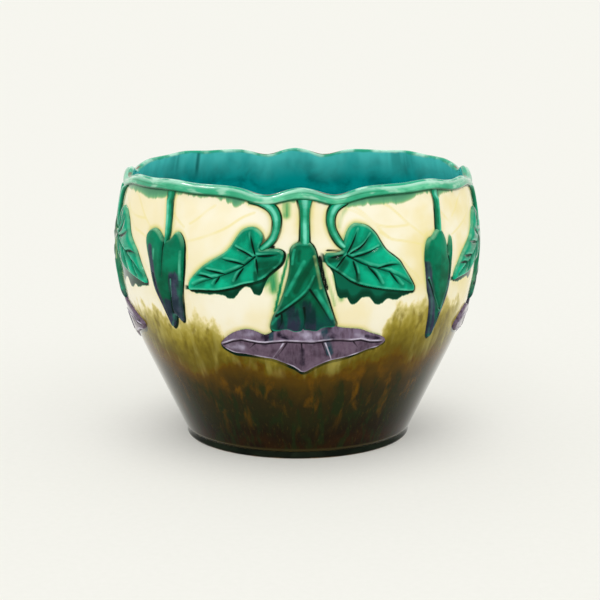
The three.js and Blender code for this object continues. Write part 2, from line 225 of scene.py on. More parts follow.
leaf = {
    "right": {
        "outline": [
            (32.1, 183.1), (33.2, 187.7), (36.4, 193.8), (40.4, 196.6), (45.4, 195.8), (50.4, 194.4),
            (54.3, 191.3), (58.1, 187), (60.9, 181.5), (64.9, 175.4), (70.2, 171.1), (76.8, 166.4),
            (81.4, 159.4), (86.6, 151.9), (91.2, 145.3), (91.4, 141.6), (88.4, 141.2), (78, 142.9),
            (64.5, 145.3), (53.9, 147.7), (44.7, 150.3), (36.8, 153.7), (29.1, 159.8), (22.5, 164),
            (18.6, 167), (17, 171.6), (18.4, 175.4), (25, 174.6), (31.5, 176.4), (30.4, 179.4),
        ],
        "mainVein": [(33.8, 173), (46.9, 165.2), (61.5, 160.8), (76.9, 154), (87.6, 147)],
        "sideVeins": [
            [(34, 174.6), (38.6, 182), (42.2, 191.6)], [(36, 174), (45.9, 178.7), (52.4, 188)],
            [(37.5, 171.2), (48.6, 173.2), (60.7, 178.6)], [(57.6, 162), (69.9, 164), (78, 162.6)],
            [(38.4, 168.5), (41.3, 160), (41.8, 153)], [(50, 163.6), (56.9, 156.6), (61.5, 148.4)],
            [(67.4, 158.9), (74.4, 150.4), (78.4, 146)], [(32.8, 172.8), (28.6, 167.2), (24.6, 161.8)],
            [(31, 173.4), (24, 171.8), (19.4, 171.4)],
        ],
        "shade": [
            ([(21, 169.6), (30, 171)], 2.4), ([(33, 168), (28.4, 161)], 2.8), ([(42, 158), (42, 153)], 1.8),
        ],
    },
    "left": {
        "outline": [
            (36, 194.2), (31.9, 192.5), (28.3, 188.6), (28.4, 183.9), (30.6, 179.5), (29.8, 177.7),
            (25.1, 178.2), (16.6, 178.2), (13, 176.3), (12.6, 173.2), (13.8, 168.8), (16, 165.8),
            (21.8, 161.3), (27.7, 155.6), (33.7, 152.8), (43.1, 151), (50.2, 147.9), (63.1, 144.7),
            (73.5, 144), (84.7, 143.4), (88.3, 142.6), (88.9, 146.3), (87.6, 150.6), (82.4, 156.1),
            (75.8, 162.5), (68, 167.6), (61.4, 171.3), (56.9, 174.2), (52.8, 178.8), (49.7, 183.8),
            (46.7, 188.8), (42.5, 192.7),
        ],
        "mainVein": [(33.4, 172.2), (43.3, 163.6), (52.2, 159.3), (63.6, 154.6), (76.3, 150.2), (83, 146.6)],
        "sideVeins": [
            [(33.5, 174), (35.5, 180.1), (36.8, 186.2), (37.1, 190)],
            [(35.4, 171.9), (40.9, 174.9), (46, 177.1), (49, 179)],
            [(42, 166), (50.5, 167.6), (56.7, 168.4), (60.3, 169.7)],
            [(57, 158), (67.2, 159), (74.6, 160.4)],
            [(67, 153.8), (76, 155.4), (82, 155)],
            [(42.1, 163.2), (45.9, 158.1), (49.2, 151.4)], [(60.9, 155.4), (64.3, 150.8), (65.8, 148)],
            [(32.7, 170.6), (31.9, 164.1), (31.3, 158)], [(31.6, 172.6), (23.7, 172.9), (15.6, 174.4)],
        ],
        "shade": [
            ([(30, 166), (18, 168)], 3.8), ([(31, 159.6), (22, 163.4)], 3.4), ([(33, 160), (33, 154)], 2),
        ],
    },
    "proud": 3.2,
    "edge": 4.5,
    "flat": 0.3,
    "domed": 0.5,
    "veinWidth": 0.85,
    "veinDepth": 1.5,
    "ridgeOut": (0.7, 2.1),  # where the ridge beside a vein lies from it
    "ridgeWidth": 1.15,
    "ridgeProud": 0.35,
    "puff": 1,  # how far it swells between its veins
    "puffWidth": 4.5,
    "roll": 0.45,  # the glaze that has gathered along the lower side
    "rollWidth": 0.9,
    "rollIn": 1.2,
    "brightFrom": 34,
    "brightTo": 72,
}
hollowWidth = 3.4  # how far the darker glaze spreads from a vein or fold

flowerTube = {
    "outline": [
        (-7.8, 178.6), (-4.8, 182.2), (1.8, 184.6), (7.2, 182.8), (11.2, 176.6), (12.7, 166.4), (16.1, 151.6),
        (19.8, 140.2), (24.8, 126.6), (27.4, 119.4), (24.4, 116.4), (17, 117.4), (12.4, 113), (4, 115.4),
        (-4, 112.6), (-11, 116), (-18, 113.6), (-24.2, 116), (-21.6, 126), (-15.4, 136.7), (-10.8, 151.8),
        (-8.2, 162.8), (-7.9, 175),
    ],
    "folds": [
        [(-18.4, 127), (-6.4, 135.8), (1.8, 142), (7.4, 149), (10.6, 157.4)],
        [(6.5, 148), (12.4, 139.2), (19.3, 127.8), (24, 119.6)],
        [(-14.4, 129), (-13.6, 123), (-17.6, 116)],
        [(2.4, 134), (3.4, 124), (1.6, 116)],
    ],
    # pale strokes: thin glaze on its raised folds, and painted highlight along their edges, its top and its
    # right side
    "pale": [
        ([(-17, 129.6), (-6.4, 138.2), (0.8, 144.4), (5.8, 150.6), (9.3, 158.7)], 1.1, 0.9),
        ([(10.6, 146.8), (16.9, 136.9), (23.6, 125.4)], 2.2),
        ([(2.2, 169.3), (-2.1, 161), (-7.1, 151), (-11, 144)], 1.7),
        ([(-4.6, 178), (-5.8, 172.8), (-6.4, 167.6)], 1.3),
        ([(-21.6, 121), (-17.7, 126.2), (-15, 129)], 1.6, 0.8),
        ([(-3, 182), (5, 182)], 1),
    ],
    "shade": [
        ([(9, 170), (4.3, 162.5), (0.1, 155), (-3.5, 147)], 3.2), ([(-1, 177), (-1.6, 170)], 1.8, 0.7),
        ([(-14, 134), (-17, 127)], 2, 0.6),
    ],
    "creamy": [([(9.8, 173), (12, 162), (14.4, 149.4)], 1.2)],
    "violet": [
        ([(-7, 132), (-5, 124), (-6, 116)], 6), ([(4, 136), (8, 126), (7, 116)], 5.4),
        ([(-15, 123), (-15, 117)], 3.4),
    ],
    "proud": 4.4,
    "edge": 10,
    "flat": 0.25,
    "domed": 0.75,
    "sunk": 0.3,
    "foldWidth": 1.3,
    "foldDepth": 1.2,
    "lowFrom": 140,  # below this its green turns blue
}

flowerBell = {
    "outline": [
        (-67, 101.3), (-60.6, 107.4), (-54, 111.6), (-47, 114.4), (-40, 115.4), (-33, 113), (-28, 110.6),
        (-22, 113.6), (-14, 118), (-8, 120.4), (-1, 122.2), (5, 119.4), (9, 117.4), (15, 118.4), (22, 121),
        (28, 117.4), (36, 116), (48, 114.6), (56, 110.8), (63.2, 108.6), (69.3, 106), (71, 103.3),
        (69, 101.2), (63.2, 98.3), (56, 97.7), (48, 94.7), (40, 92.6), (32, 91), (25, 90), (18, 87.6),
        (10, 83.7), (2, 79), (-4.8, 84.6), (-12, 87.5), (-22, 91.5), (-27.6, 92), (-33, 92.8), (-40, 93.9),
        (-47, 94.8), (-54, 94.7), (-60, 97),
    ],
    "lip": [
        (-65.6, 101.2), (-60, 103.2), (-54, 105.6), (-47, 106.9), (-40, 106), (-33, 105.1), (-27.6, 105),
        (-22, 105.9), (-12, 106.9), (-4.8, 106.6), (2, 106.3), (10, 106), (18, 106.9), (25, 107.5),
        (31.4, 107.3), (40, 106.3), (48, 106.6), (56, 104.2), (63, 103.6), (69, 103.4),
    ],
    "ribs": [[(-13.3, 105.4), (-17, 99.7), (-22, 93.2)], [(19.2, 105.2), (21.6, 99.3), (24.8, 91.6)]],
    "grooves": [
        [(0.6, 105.2), (1.4, 96), (0.9, 84)], [(-36, 104.2), (-41, 99.6)], [(42, 105), (47, 99)],
        [(-11, 105), (-14.8, 99), (-19.6, 92.8)], [(17, 105), (19.2, 99), (22.4, 91.4)],
    ],
    "dark": [
        ([(-24.9, 118), (-26, 112), (-28.6, 106.4)], 4.6), ([(-16, 112), (-8, 109.6)], 3),
        ([(22, 121), (20, 114), (26, 109)], 3.4), ([(52, 109), (64, 105.6)], 1.6),
        ([(1, 99), (1.4, 88)], 2.6),
    ],
    "teal": [
        ([(16, 122), (18.7, 111.7), (21.5, 103.5), (23.4, 97)], 3.6),
        ([(-21, 121), (-22.6, 112), (-23, 107)], 2.2),
    ],
    "pale": [
        ([(-58, 101.4), (-47, 100.4)], 3, 0.8), ([(-10, 119.6), (-2, 118), (3, 113), (8, 109)], 3.4),
        ([(-46, 111), (-38, 112)], 2.6, 0.5), ([(14, 113), (10, 108)], 2.6, 0.7),
        ([(44, 111), (50, 108)], 2.4, 0.5),
    ],
    "middle": 1.7,
    "proud": 3.6,
    "edge": 3,
    "flat": 0.25,
    "domed": 0.4,
    "grooveDepth": 0.6,
    "ridgeProud": 0.8,
    # how its dark pooled glaze is shifted, mostly below it, as painted shadow
    "poolShadowSide": (-0.2, 1.5),
}

openBud = {
    "outline": [
        (-2.9, 184), (-8.8, 186.9), (-14.9, 185.4), (-19.4, 181.6), (-20.2, 176), (-17.9, 168.6),
        (-14.7, 159.6), (-13.1, 149.6), (-10.5, 138), (-4.6, 128.5), (-0.4, 118.5), (2, 109.8), (5, 111),
        (7.4, 116), (9.4, 121.2), (12.4, 118.6), (14.4, 115.6), (16.2, 117), (16.6, 125.9), (17.2, 134),
        (18.8, 143.8), (20.5, 158.1), (21, 169.6), (21.3, 177.2), (19.4, 182.6), (15.7, 186.6), (12.4, 185.3),
        (9.7, 181.2), (5.8, 178.6), (1.4, 179.6),
    ],
    "grooves": [
        [(2.9, 185), (3.6, 175.2), (3, 164.4), (1.8, 152)],
        [(8.6, 123), (9.4, 137), (11.4, 151)],
        [(-8, 152), (-5, 140), (0, 128), (4, 116)],
    ],
    "violet": [
        ([(-11, 172), (-8, 155), (-5, 140), (0.4, 127), (4, 114)], 3.6),
        ([(13.6, 152), (13.4, 140), (13, 128), (14, 118)], 5), ([(6, 130), (4, 114)], 5),
    ],
    "pale": [([(-6, 171), (-6.4, 164)], 1.4), ([(19.4, 172), (18.4, 150)], 1), ([(11, 150), (10, 136)], 0.7)],
    "grooveWidth": 0.95,
    "grooveDepth": 1.2,
}

closedBud = {
    "outline": [
        (2.8, 187.6), (-1.2, 185.2), (-5.4, 180.6), (-9.4, 180.4), (-12, 175), (-13, 166), (-11.6, 155),
        (-9.6, 144.3), (-4.6, 131.5), (-1.6, 116.4), (-0.2, 104.6), (3, 98.6), (6.4, 100.6), (8, 106),
        (11.4, 119.2), (16.2, 132.3), (17.6, 144.2), (18.2, 158.4), (19.4, 167.7), (19, 177), (17.6, 180.4),
        (15.4, 172), (12, 164), (11.6, 172.7), (8.6, 182.4),
    ],
    "grooves": [
        [(11.4, 168), (12.4, 156), (12, 143.6), (6.6, 123)],
        [(-9.4, 148.6), (-2, 132.6), (6.3, 120.4), (8.4, 131.1), (12.2, 143)],
        [(6.2, 119), (6, 108)],
    ],
    "violet": [
        ([(-12.4, 160), (-9.6, 144), (-4.8, 131), (-1, 116), (1, 106)], 3.8),
        ([(15, 148), (12, 134), (8.6, 120)], 3.2),
    ],
    "pale": [([(-9.8, 150.4), (-2.6, 134), (5.6, 121.6)], 0.6), ([(13.2, 145), (8.9, 132), (7.2, 121)], 0.6)],
    "grooveWidth": 0.9,
    "grooveDepth": 1.1,
}

budShape = {
    "proud": 4.5,
    "edge": 9,
    "flat": 0.2,
    "domed": 0.8,
    "sunk": 0.1,
    "lowFrom": 126,  # below this its green turns blue
    "brightFrom": 150,
    "brightTo": 176,
}

stems = {
    "flower": {
        "path": [(3.2, 213.6), (3.1, 207), (3, 200), (3, 190), (2.8, 182)],
        "width": (11, 7.6, 6.9, 6.8, 7),
    },
    "leafLeft": {
        "path": [
            (38.5, 213.4), (30.7, 212.3), (24.5, 209.8), (20.2, 205.9), (18.2, 201.3), (17.8, 196.2),
            (19.1, 188.9), (22, 183.7), (25.6, 180.6), (28.4, 178.4),
        ],
        "width": (4.4, 5.4, 6.4, 6.8, 6.6, 6.2, 5.6, 5.4, 5, 4.4),
    },
    "leafRight": {
        "path": [
            (34, 212.4), (28.6, 210.4), (24.4, 206.8), (22.2, 200.4), (22.8, 193.4), (25.3, 187.9),
            (28.6, 182.8), (31.6, 179.8),
        ],
        "width": (5, 6.4, 6.8, 6.4, 5.8, 5.4, 5.2, 4.4),
    },
    "openBud": {
        "path": [(3.3, 213.8), (3.6, 208), (5, 198), (5.4, 186), (4.6, 176)],
        "width": (8, 5.4, 5, 4.8, 2.4),
    },
    "closedBud": {
        "path": [(4.8, 213.8), (4.6, 208), (3.8, 198), (2.9, 187), (2.4, 180)],
        "width": (8, 5.4, 5, 5.4, 3),
    },
}
stemShape = {
    "proud": 3.1,
    "flat": 0.1,
    "domed": 0.9,
    "sinkFrom": 208,  # where it starts to sink under the vine
    "sinkTo": 212.6,
    "sunk": 0.65,
}


def painted(points, strokes):  # soft brush strokes: a path, its half width and, if not 1, its strength
    colour = np.zeros(len(points))
    for path, half, *strength in strokes:
        peak = strength[0] if strength else 1
        colour = np.maximum(colour, peak * hump(alongLine(points, smoothed(path))[0], half))
    return colour


def veinLines(points, paths, width):  # 1 on the paths, widest along their middles, pointed at their ends
    strength = np.zeros(len(points))
    for path in paths:
        distance, share = alongLine(points, smoothed(path))
        wide = width * (0.5 + 0.8 * np.sin(math.pi * share**0.8))
        strength = np.maximum(strength, (1 - 0.7 * share**4) * hump(distance, wide))
    return strength


def stemEdge(stem, points):  # distance in from a stem's side, and half its width there
    path = smoothed(stem["path"])
    distance, share = alongLine(points, path)
    marks = alongLine(np.asarray(stem["path"], float), path)[1]
    half = np.interp(share, marks, stem["width"]) / 2
    return half - distance, half


def formEdge(form, points):
    if "outline" in form:
        return insideGap(points, rounded(form["outline"]))
    return stemEdge(form, points)[0]


probe = 1.2  # a second look this far up tells which way an edge faces


def margins(form, points, edge):  # how far the nearest side lies above or below, from 0 to 1
    rising = (edge - formEdge(form, points + (0, probe))) / probe
    return {"upper": np.clip(rising, 0, 1), "lower": np.clip(-rising, 0, 1)}


def swell(shape, share):  # how far a form stands out: partly flat, partly domed from its edge to its middle
    return shape["proud"] * (shape["flat"] + shape["domed"] * dome(share))


# Each field gives, for points on the wall, how far they lie in from the form's edge, how far the form
# stands out there, and the marks that its glaze goes by.

def leafField(form, points):
    edge = formEdge(form, points)
    veins = [form["mainVein"]] + form["sideVeins"]
    gap = nearestLine(points, veins)
    mainGroove = lines(points, veins[:1], leaf["veinWidth"], 0.35)
    groove = np.maximum(mainGroove, veinLines(points, veins[1:], leaf["veinWidth"]))
    ridge = hump(nearestLine(points - leaf["ridgeOut"], veins), leaf["ridgeWidth"]) * smoothStep(edge, 1, 4)
    marks = margins(form, points, edge)
    body = swell(leaf, edge / leaf["edge"])
    body += leaf["puff"] * (1 - hump(gap, leaf["puffWidth"])) * smoothStep(edge, 0, 5)
    body += leaf["roll"] * marks["lower"] * hump(edge - leaf["rollIn"], leaf["rollWidth"])
    marks.update({
        "groove": groove, "ridge": ridge * (1 - groove), "hollow": hump(gap, hollowWidth),
        "bright": smoothStep(points[:, 0], leaf["brightFrom"], leaf["brightTo"]),
        "shade": painted(points, form["shade"]),
    })
    return edge, body - leaf["veinDepth"] * groove + leaf["ridgeProud"] * ridge, marks


def tubeField(form, points):
    edge = formEdge(form, points)
    groove = lines(points, form["folds"], form["foldWidth"], 0.5)
    marks = margins(form, points, edge)
    marks.update({key: painted(points, form[key]) for key in ("shade", "violet", "creamy")})
    marks.update({
        # the pale strokes are partly painted highlight
        "groove": groove, "ridge": painted(points, form["pale"]),
        "hollow": hump(nearestLine(points, form["folds"]), hollowWidth),
        "low": smoothStep(form["lowFrom"] - points[:, 1], 0, 16),
    })
    body = swell(form, edge / form["edge"]) - form["foldDepth"] * groove
    return edge, body - 0.5 * marks["shade"] + 0.5 * marks["ridge"] - form["sunk"], marks


def bellField(form, points):
    edge = formEdge(form, points)
    lip = np.asarray(form["lip"])
    below = np.interp(points[:, 0], lip[:, 0], lip[:, 1]) - points[:, 1]
    inLip = smoothStep(lip[-1, 0] - np.abs(points[:, 0] - form["middle"]), 0, 6)
    grooves = lines(points, form["grooves"], 0.9, 0.5)
    groove = np.maximum(0.8 * grooves, 0.9 * inLip * hump(below - 0.9, 0.7))
    ridge = np.maximum(lines(points, form["ribs"], 0.8, 0.2), inLip * hump(below + 0.7, 0.75))
    ridge = np.maximum(ridge, smoothStep(below, 2, 5) * hump(edge - 0.8, 0.7))
    marks = {"groove": groove, "ridge": ridge, "below": below}
    marks.update({key: painted(points, form[key]) for key in ("dark", "teal", "pale")})
    body = swell(form, edge / form["edge"])
    return edge, body - form["grooveDepth"] * groove + form["ridgeProud"] * ridge, marks


def budField(form, points):
    edge = formEdge(form, points)
    groove = lines(points, form["grooves"], form["grooveWidth"], 0.4)
    marks = margins(form, points, edge)
    marks.update({
        "groove": groove, "ridge": painted(points, form["pale"]), "violet": painted(points, form["violet"]),
        "hollow": hump(nearestLine(points, form["grooves"]), 3),
        "low": smoothStep(budShape["lowFrom"] - points[:, 1], 0, 20),
        "bright": smoothStep(points[:, 1], budShape["brightFrom"], budShape["brightTo"]),
    })
    body = swell(budShape, edge / budShape["edge"])
    return edge, body - form["grooveDepth"] * groove - budShape["sunk"], marks


def stemField(form, points):
    edge, half = stemEdge(form, points)
    sinking = smoothStep(points[:, 1], stemShape["sinkFrom"], stemShape["sinkTo"])
    body = swell(stemShape, edge / half) * (1 - stemShape["sunk"] * sinking)
    # the ridge mark is the stem's middle, where its glaze paints a highlight
    return edge, body, {"ridge": smoothStep(edge / half, 0.4, 0.85)}


outlineMargin = 2
stemMargin = 8


def formBox(form):  # lowest and highest (across, height) of an outline or a stem, with a margin
    drawn = "outline" in form
    points = np.asarray(form["outline" if drawn else "path"], float)
    margin = outlineMargin if drawn else stemMargin
    return points.min(axis=0) - margin, points.max(axis=0) + margin


relief = {
    "cell": 0.5,  # the grid that each form is cut from
    "skirt": 0.9,  # how far the form runs on past its outline, sinking into the wall
    "slope": 1.5,  # how steeply it sinks there
    "sunk": 1.9,  # how deep in the wall its back lies
}


# A form lying flat: x is the distance across, y the height, and z how far it stands out from the wall
def flatForm(name, form, field):
    low, high = formBox(form)
    size = high - low
    cells = np.ceil(size / relief["cell"]).astype(int)
    bm = bmesh.new()
    bmesh.ops.create_grid(bm, x_segments=int(cells[0]), y_segments=int(cells[1]), size=1)
    bmesh.ops.scale(bm, verts=bm.verts, vec=(size[0] / 2, size[1] / 2, 1))
    bmesh.ops.translate(bm, verts=bm.verts, vec=((low[0] + high[0]) / 2, (low[1] + high[1]) / 2, 0))
    points = np.array([vert.co.xy for vert in bm.verts])
    edge, proud, marks = field(form, points)
    proud = np.where(edge < 0, np.minimum(edge * relief["slope"], 0), proud)
    marks = {"edge": edge, **marks}
    layers = {key: bm.verts.layers.float.new(key) for key in marks}
    for key, values in marks.items():
        for vert, value in zip(bm.verts, values):
            vert[layers[key]] = value
    far = [vert for vert, gap in zip(bm.verts, edge) if gap < -relief["skirt"]]
    for vert, height in zip(bm.verts, proud):
        vert.co.z = height
    bmesh.ops.delete(bm, geom=far, context="VERTS")
    stray = [vert for vert in bm.verts if not vert.link_faces]
    bmesh.ops.delete(bm, geom=stray, context="VERTS")
    print("form", name, len(bm.verts), "points in front")
    extruded = bmesh.ops.extrude_face_region(bm, geom=bm.faces[:], use_keep_orig=True)
    for item in extruded["geom"]:
        if isinstance(item, bmesh.types.BMVert):
            item.co.z = -relief["sunk"]
    bmesh.ops.recalc_face_normals(bm, faces=bm.faces)
    mesh = bpy.data.meshes.new(name)
    bm.to_mesh(mesh)
    bm.free()
    return mesh


def readPoints(mesh):
    values = np.zeros(3 * len(mesh.vertices), np.float32)
    mesh.vertices.foreach_get("co", values)
    return values.reshape(-1, 3).astype(float)


def writePoints(mesh, points):
    mesh.vertices.foreach_set("co", points.astype(np.float32).ravel())
    mesh.update()


def addMark(mesh, name, values):
    layer = mesh.attributes.new(name, "FLOAT", "POINT")
    layer.data.foreach_set("value", values.astype(np.float32))


def addFlow(mesh, angle, height):
    layer = mesh.attributes.new("flow", "FLOAT_VECTOR", "POINT")
    direction = np.radians(angle)
    vectors = np.stack((np.sin(direction), -np.cos(direction), height * mm), axis=-1)
    layer.data.foreach_set("vector", vectors.astype(np.float32).ravel())


def showPiece(name, mesh, materials, slotName, *nodes):
    for material in materials:
        mesh.materials.append(material)
    mesh.shade_smooth()
    piece = bpy.data.objects.new(name, mesh)
    bpy.context.scene.collection.objects.link(piece)
    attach(piece, "root")
    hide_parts(*nodes)


# Glazes. Colours are written as they look, and a glaze is a mix of a few of them by masks.

noiseSpan = (0.3, 0.7)  # nearly all of a noise lies between these


def tint(code):
    parts = [int(code[i : i + 2], 16) / 255 for i in (1, 3, 5)]
    return (*[part / 12.92 if part <= 0.04045 else ((part + 0.055) / 1.055) ** 2.4 for part in parts], 1)


class Tree:  # short calls for the nodes of one material or group
    def __init__(self, tree):
        self.nodes = tree.nodes
        self.links = tree.links

    def feed(self, socket, value):
        if isinstance(value, bpy.types.NodeSocket):
            self.links.new(value, socket)
        else:
            socket.default_value = value

    def place(self):
        return self.nodes.new("ShaderNodeTexCoord").outputs["Object"]

    def flow(self):  # a place on the wall that doesn't stretch where the wall leans: round it, and up it
        node = self.nodes.new("ShaderNodeAttribute")
        node.attribute_name = "flow"
        return node.outputs["Vector"]

    def times(self, *values):
        product = values[0]
        for value in values[1:]:
            product = self.sum("MULTIPLY", product, value)
        return product

    def mark(self, name):
        node = self.nodes.new("ShaderNodeAttribute")
        node.attribute_name = name
        return node.outputs["Fac"]

    def sum(self, operation, *values):
        node = self.nodes.new("ShaderNodeMath")
        node.operation = operation
        for socket, value in zip(node.inputs, values):
            self.feed(socket, value)
        return node.outputs[0]

    def stretch(self, vector, scale=(1, 1, 1), shift=(0, 0, 0)):
        node = self.nodes.new("ShaderNodeMapping")
        self.feed(node.inputs["Vector"], vector)
        node.inputs["Scale"].default_value = scale
        node.inputs["Location"].default_value = shift
        return node.outputs[0]

    def noise(self, vector, scale, detail=2, roughness=0.5, distortion=0):
        node = self.nodes.new("ShaderNodeTexNoise")
        self.feed(node.inputs["Vector"], vector)
        self.feed(node.inputs["Scale"], scale)
        node.inputs["Detail"].default_value = detail
        node.inputs["Roughness"].default_value = roughness
        node.inputs["Distortion"].default_value = distortion
        return node.outputs["Fac"]

    def range(self, value, low, high, toLow=0, toHigh=1, smooth=True):
        node = self.nodes.new("ShaderNodeMapRange")
        node.interpolation_type = "SMOOTHSTEP" if smooth else "LINEAR"
        for socket, given in zip(node.inputs, (value, low, high, toLow, toHigh)):
            self.feed(socket, given)
        return node.outputs["Result"]

    def mix(self, share, first, second):
        node = self.nodes.new("ShaderNodeMix")
        node.data_type = "RGBA"
        self.feed(node.inputs[0], share)
        self.feed(node.inputs[6], first)
        self.feed(node.inputs[7], second)
        return node.outputs[2]

    def ramp(self, value, stops):
        node = self.nodes.new("ShaderNodeValToRGB")
        self.feed(node.inputs["Fac"], value)
        elements = node.color_ramp.elements
        while len(elements) < len(stops):
            elements.new(1)
        for element, (place, code) in zip(elements, stops):
            element.position = place
            element.color = tint(code)
        return node.outputs["Color"]

    def group(self, group, **values):
        node = self.nodes.new("ShaderNodeGroup")
        node.node_tree = group
        for name, value in values.items():
            self.feed(node.inputs[name], value)
        return node.outputs

    def cloud(self, vector, scale, low, high):
        return self.group(cloudGroup, Vector=vector, Scale=scale, Low=low, High=high)["Mask"]

    def swing(self, vector, scale, reach, *detail):  # wanders between -reach and reach
        return self.range(self.noise(vector, scale, *detail), *noiseSpan, -reach, reach, False)

    def uneven(self, vector, scale, *span):  # a strength that varies: from, to, least, most
        return self.range(self.noise(vector, scale), *span, False)

    def coat(self, under, share, code):  # one more colour over what is there
        return self.mix(share, under, tint(code))

    def pair(self, share, codes):  # between two colours
        return self.mix(share, *[tint(code) for code in codes])

    def blend(self, share, first, second, output):  # between two shaders
        node = self.nodes.new("ShaderNodeMixShader")
        self.feed(node.inputs[0], share)
        self.feed(node.inputs[1], first.outputs[0])
        self.feed(node.inputs[2], second.outputs[0])
        self.feed(output.inputs["Surface"], node.outputs[0])

    def height(self):  # of a place, in metres
        node = self.nodes.new("ShaderNodeSeparateXYZ")
        self.feed(node.inputs[0], self.place())
        return node.outputs["Z"]


def newGroup(name, numbers, results):  # every group takes a place and some numbers
    group = bpy.data.node_groups.new(name, "ShaderNodeTree")
    group.interface.new_socket(name="Vector", in_out="INPUT", socket_type="NodeSocketVector")
    for way, titles in (("INPUT", numbers), ("OUTPUT", results)):
        for title in titles:
            group.interface.new_socket(name=title, in_out=way, socket_type="NodeSocketFloat")
    tree = Tree(group)
    return group, tree, tree.nodes.new("NodeGroupInput").outputs, tree.nodes.new("NodeGroupOutput").inputs


# Thick glaze lies in soft ripples: a height for the bump, and a roughness that varies a little
def makeRipple():
    group, tree, given, out = newGroup("glazeRipple", ("Scale", "Gloss"), ("Height", "Roughness"))
    wide = tree.noise(given["Vector"], given["Scale"])
    fine = tree.noise(given["Vector"], tree.times(given["Scale"], 9))
    tree.feed(out["Height"], tree.sum("MULTIPLY_ADD", fine, 0.12, wide))
    tree.feed(out["Roughness"], tree.sum("MULTIPLY_ADD", fine, 0.05, given["Gloss"]))
    return group


# Dark glaze that has pooled where a gap, in millimetres, is smaller than a width that wanders
def makePool():
    group, tree, given, out = newGroup("pooledGlaze", ("Gap", "Width", "Blur"), ("Mask",))
    width = tree.times(given["Width"], tree.uneven(given["Vector"], 90, *noiseSpan, 0.45, 1.45))
    soft = tree.sum("DIVIDE", tree.sum("SUBTRACT", width, given["Gap"]), given["Blur"])
    tree.feed(out["Mask"], tree.range(soft, -0.5, 0.5))
    return group


# Cloudy patches where one glaze shows through another
def makeCloud():
    group, tree, given, out = newGroup("glazeCloud", ("Scale", "Low", "High"), ("Mask",))
    cloud = tree.noise(given["Vector"], given["Scale"], 4, 0.55, 0.4)
    tree.feed(out["Mask"], tree.range(cloud, given["Low"], given["High"]))
    return group


rippleGroup = makeRipple()
poolGroup = makePool()
cloudGroup = makeCloud()


glaze = {
    "ior": 1.5,
    "shine": 0.06,  # how strongly it mirrors, seen straight on
    "glance": (0.4, 0.97, 0, 0.75),  # how its coat grows as it turns away: from, to, least, most
    "coatRoughness": 0.08,
    "gloss": 0.07,
    "ripple": 45,
    "bump": 0.25,
    "bumpDepth": 0.0006,
}


def newGlaze(name, **changes):
    given = {**glaze, **changes}
    material = bpy.data.materials.new(name)
    material.use_nodes = True
    tree = Tree(material.node_tree)
    shader = tree.nodes["Principled BSDF"]
    shader.inputs["IOR"].default_value = given["ior"]
    shader.inputs["Specular IOR Level"].default_value = given["shine"]
    shader.inputs["Coat Roughness"].default_value = given["coatRoughness"]
    facing = tree.nodes.new("ShaderNodeLayerWeight").outputs["Facing"]
    tree.feed(shader.inputs["Coat Weight"], tree.range(facing, *given["glance"]))
    ripple = tree.group(rippleGroup, Vector=tree.place(), Scale=given["ripple"], Gloss=given["gloss"])
    tree.feed(shader.inputs["Roughness"], ripple["Roughness"])
    bumpNode = tree.nodes.new("ShaderNodeBump")
    bumpNode.inputs["Strength"].default_value = given["bump"]
    bumpNode.inputs["Distance"].default_value = given["bumpDepth"]
    tree.feed(bumpNode.inputs["Height"], ripple["Height"])
    tree.feed(shader.inputs["Normal"], bumpNode.outputs["Normal"])
    return material, tree, shader.inputs["Base Color"]


greens = {
    "glance": (0.66, 1, 0, 0.5),
    "creamy": "#A8C680",
    "thin": "#8FD0A2",
    "shade": "#01381F",
    "groove": "#011A10",
    # light, plain and dark are the green as it thickens, pale is where it has run off an edge, partly a
    # painted highlight on the tube's folds and top, and deep where it has met the purple
    "leafGlaze": {
        "light": "#08BA8E", "plain": "#017A5A", "dark": "#014A30", "pale": "#4CCCA6", "deep": "#045C44",
        "violets": ("#26293E", "#48425F"), "edges": 0.85,
    },
    "tubeGlaze": {
        "light": "#028A64", "plain": "#015E3E", "dark": "#01301C", "pale": "#2CB890", "deep": "#0A3E40",
        "violets": ("#0C282C", "#302E46"), "edges": 0.6,
    },
    "budGlaze": {
        "light": "#058660", "plain": "#015A3C", "dark": "#013A28", "pale": "#5FC8A4", "deep": "#1A3C48",
        "violets": ("#26293E", "#48425F"), "edges": 0.5,
    },
}


